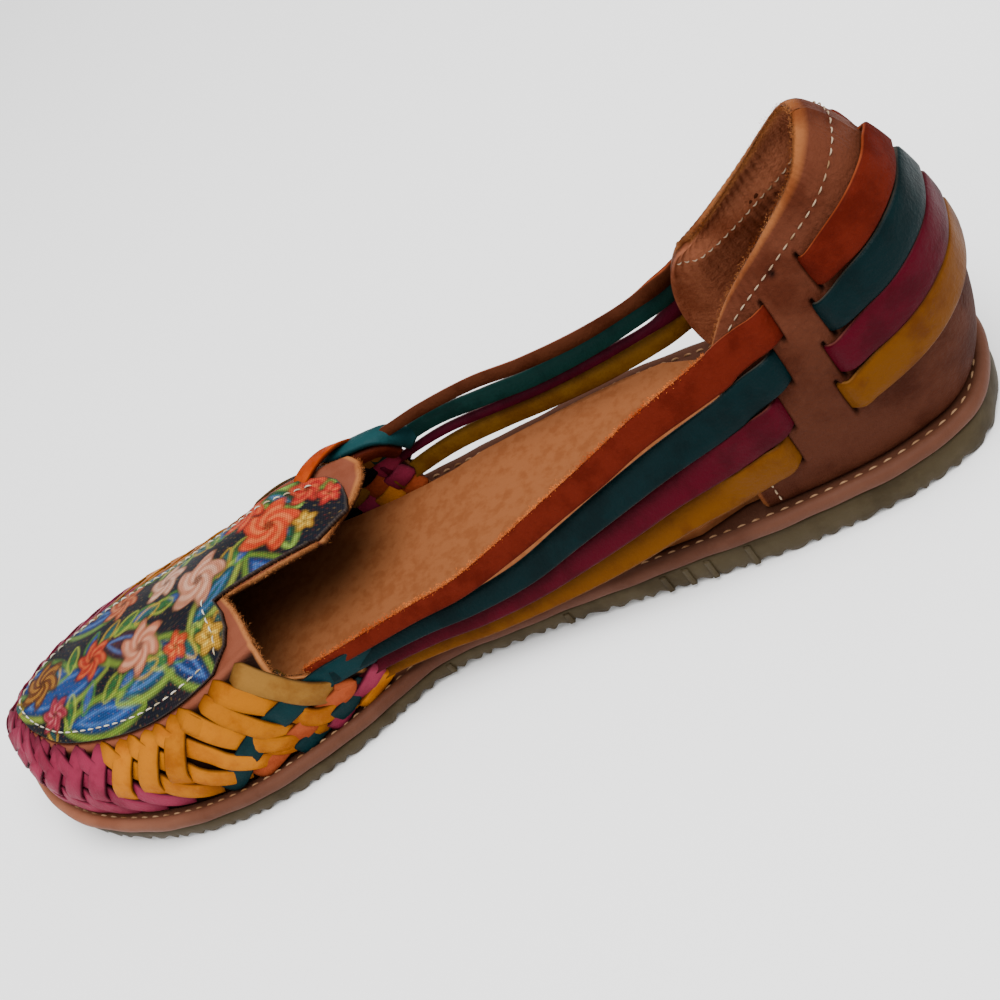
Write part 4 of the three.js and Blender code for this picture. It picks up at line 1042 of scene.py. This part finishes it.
# for each strap: its kind, and the colours of its face, its worn edges and its flesh side
STRAP_LOOKS = {
    "top_rust": ("rust", RUST, "7c3a20", "3c1c0e"), "upper_teal": ("teal", TEAL, "3a342e", "0c2c28"),
    "lower_magenta": ("magenta", MAGENTA, "583028", "40081a"),
    "bottom_ochre": ("ochre", OCHRE, "6a4622", "5c3c0a"),
}
for name, (inner, outer) in STRAPS.items():
    kind, *codes = STRAP_LOOKS[name]
    a, b = strap_side(1, kind, *inner), strap_side(-1, kind, *outer)
    path, lean, width = refine(*(np.concatenate([x[::-1], y[1:]]) for x, y in zip(a, b)))
    pts, fcs = ribbon(path, -lean, width, STRAP_THICKNESS, crown=0.12)
    face, pale, flesh = (colour(c) for c in codes)
    section = [pale, face * 0.8, *[face] * 5, face * 0.8, pale, flesh * 0.9, *[flesh] * 3, flesh * 0.9]
    tint = np.tile(section, (len(path), 1))
    tint[:, 3] = 1
    mesh_piece("strap_" + kind, pts, fcs, M[kind], "strap_" + name, kind + "_leather", tint)
    if kind == "rust":
        # fibres along its upper edge, where it is free on the inner side
        top = path + lean * (width / 2)[:, None]
        run = top[(top[:, 1] > 12) & (top[:, 0] > 44)]
        if run[0, 0] > run[-1, 0]:
            run = run[::-1]
        fibres = fuzz(run, (0, 0, 1), 7000, 0.6, 0.16)
mesh_piece("rust_fibres", *fibres, M["rust_fibre"], slot="rust_leather", smooth_shade=False)


# Heel cup

a = np.concatenate([[-1, -0.9985, -0.996, -0.992], np.linspace(-0.986, 0.986, 520),
                    [0.992, 0.996, 0.9985, 1]])
h = np.concatenate([[0, 0.012], np.linspace(0.03, 0.965, 84), [0.978, 0.99, 0.997, 1]])
A2, H2 = np.meshgrid(a, h, indexing="ij")
mag = np.abs(A2)


def rounded(v):
    """From 0 at an edge to 1, along a quarter of a circle."""
    return np.sqrt(np.clip(1 - (1 - np.clip(v, 0, 1)) ** 2, 0, 1))


def padding(a, h):
    """How far the lining stands in, over the straps that pass behind it."""
    m = np.abs(a)
    pad = (smooth((m - 0.38) / 0.18) * (1 - smooth((m - 0.88) / 0.11))
           + 1.35 * (1 - smooth((np.abs(a + 0.06) - 0.2) / 0.14)))
    return 2.9 * np.minimum(pad, 1.35) * smooth(h / 0.2) * (1 - smooth((h - 0.82) / 0.15))


wall = COUNTER_WALL / 2
round_off = rounded((1 - mag) / 0.014) * rounded((1 - H2) / 0.03)
crease = (np.sin(A2 * 230 + 3 * np.sin(H2 * 9) + 2 * np.sin(A2 * 17)) * smooth((H2 - 0.45) / 0.25)
          * (0.25 + 0.75 * np.sin(A2 * 9 + 1) ** 2))
outer = counter_out(A2, H2, -wall + (wall + 0.07 * crease * (mag > 0.1)) * round_off)
inner = counter_out(A2, H2, -wall - (wall + padding(A2, H2) + crease * 0.12) * round_off)
slit, lip = np.zeros(A2.shape), np.zeros(A2.shape)
for p, q in SLOTS:
    axis = q - p
    k = np.clip((outer - p) @ axis / (axis @ axis), 0, 1)[..., None]
    d = np.linalg.norm(outer - p - k * axis, axis=-1)
    slit = np.maximum(slit, np.exp(-((d / 0.42) ** 2)))
    lip = np.maximum(lip, np.exp(-((d / 1.3) ** 2)))
out_n = normal(counter, np.clip(A2, -0.997, 0.997), np.clip(H2, 0.02, 0.98))
outer = outer + out_n * (0.35 * lip - 1.5 * slit)[..., None]
skin, gold, inside, slot_shadow, shadow_brown = (colour(c) for c in ("4b2618", "7c4a28", "824c34", "0c0503", "120806"))
outer_tint = np.ones(A2.shape + (4,)) * skin
# painted light and shade: the heel cup darker low down and lighter towards its collar
outer_tint[..., :3] *= (0.72 + 0.38 * smooth((H2 - 0.5) / 0.45))[..., None]
worn = np.maximum(smooth((H2 - 0.983) / 0.01), 0.8 * smooth((mag - 0.985) / 0.008))
# a small hole: a dent with painted shadow in it
hole = np.exp(-((np.linalg.norm(outer - counter(0.657, 0.912), axis=-1) / 0.7) ** 2))
# the collar's gold worn edge, and painted shadow in the strap slots and in the small hole
for share, tone in ((worn, gold), (slit * 0.9, slot_shadow), (hole, shadow_brown)):
    outer_tint = mix(outer_tint, tone, share[..., None])
outer = outer - out_n * hole[..., None] * 0.8
inner_tint = mix(inside, gold, smooth((H2 - 0.986) / 0.01)[..., None])
shell_piece("heel_cup", M["counter"], "counter", "counter_leather", A2.shape, [outer, inner],
            [outer_tint, inner_tint], flip=True)

SEAM_OUT, SEAM_IN = 0.925, 0.86
a = np.linspace(-0.985, 0.985, 900)
rows = []
for up_at, offset, sign in ((SEAM_OUT, 0.1, 1), (SEAM_IN, -COUNTER_WALL - 0.2 - padding(a, SEAM_IN), -1)):
    rows.append(stitches(counter_out(a, up_at, offset), sign * normal(counter, a, up_at), 1.5, 0.8, 0.16))
v = np.linspace(0.05, 0.3, 60)
rows.append(stitches(counter_out(0.955, v, 0.1), normal(counter, 0.955, v), 1.6, 0.8, 0.2))
mesh_piece("heel_stitches", *join(rows), M["pale_thread"], slot="counter_leather")

fibres = fuzz(counter_out(a, 1, -COUNTER_WALL / 2), (0.15, 0, 1), 3000, 0.4)
mesh_piece("collar_fibres", *fibres, M["fibre"], slot="counter_leather", smooth_shade=False)


# Floor and light

floor_mesh = bpy.data.meshes.new("floor")
floor_mesh.from_pydata([(-3, -3, 0), (3, -3, 0), (3, 3, 0), (-3, 3, 0)], [], [(0, 1, 2, 3)])
floor = add_object("floor", floor_mesh)
pale = bpy.data.materials.new("pale_floor")
pale.use_nodes = True
sockets = pale.node_tree.nodes["Principled BSDF"].inputs
sockets["Base Color"].default_value = (0.94, 0.94, 0.94, 1)
sockets["Roughness"].default_value = 0.9
floor_mesh.materials.append(pale)

world = bpy.data.worlds.new("studio")
world.use_nodes = True
sockets = world.node_tree.nodes["Background"].inputs
sockets[0].default_value = (1, 1, 1, 1)
sockets[1].default_value = 1.0
bpy.context.scene.world = world


def area(name, where, aim, size, power):
    data = bpy.data.lights.new(name, "AREA")
    data.size = size
    data.energy = power
    lamp = add_object(name, data)
    lamp.location = where
    lamp.rotation_euler = (Vector(aim) - Vector(where)).to_track_quat("-Z", "Y").to_euler()


area("key", (-0.25, 0.15, 1), (0, 0, 0), 0.8, 21)
area("fill", (0.6, 0.6, 0.5), (0, 0, 0.03), 0.7, 3)
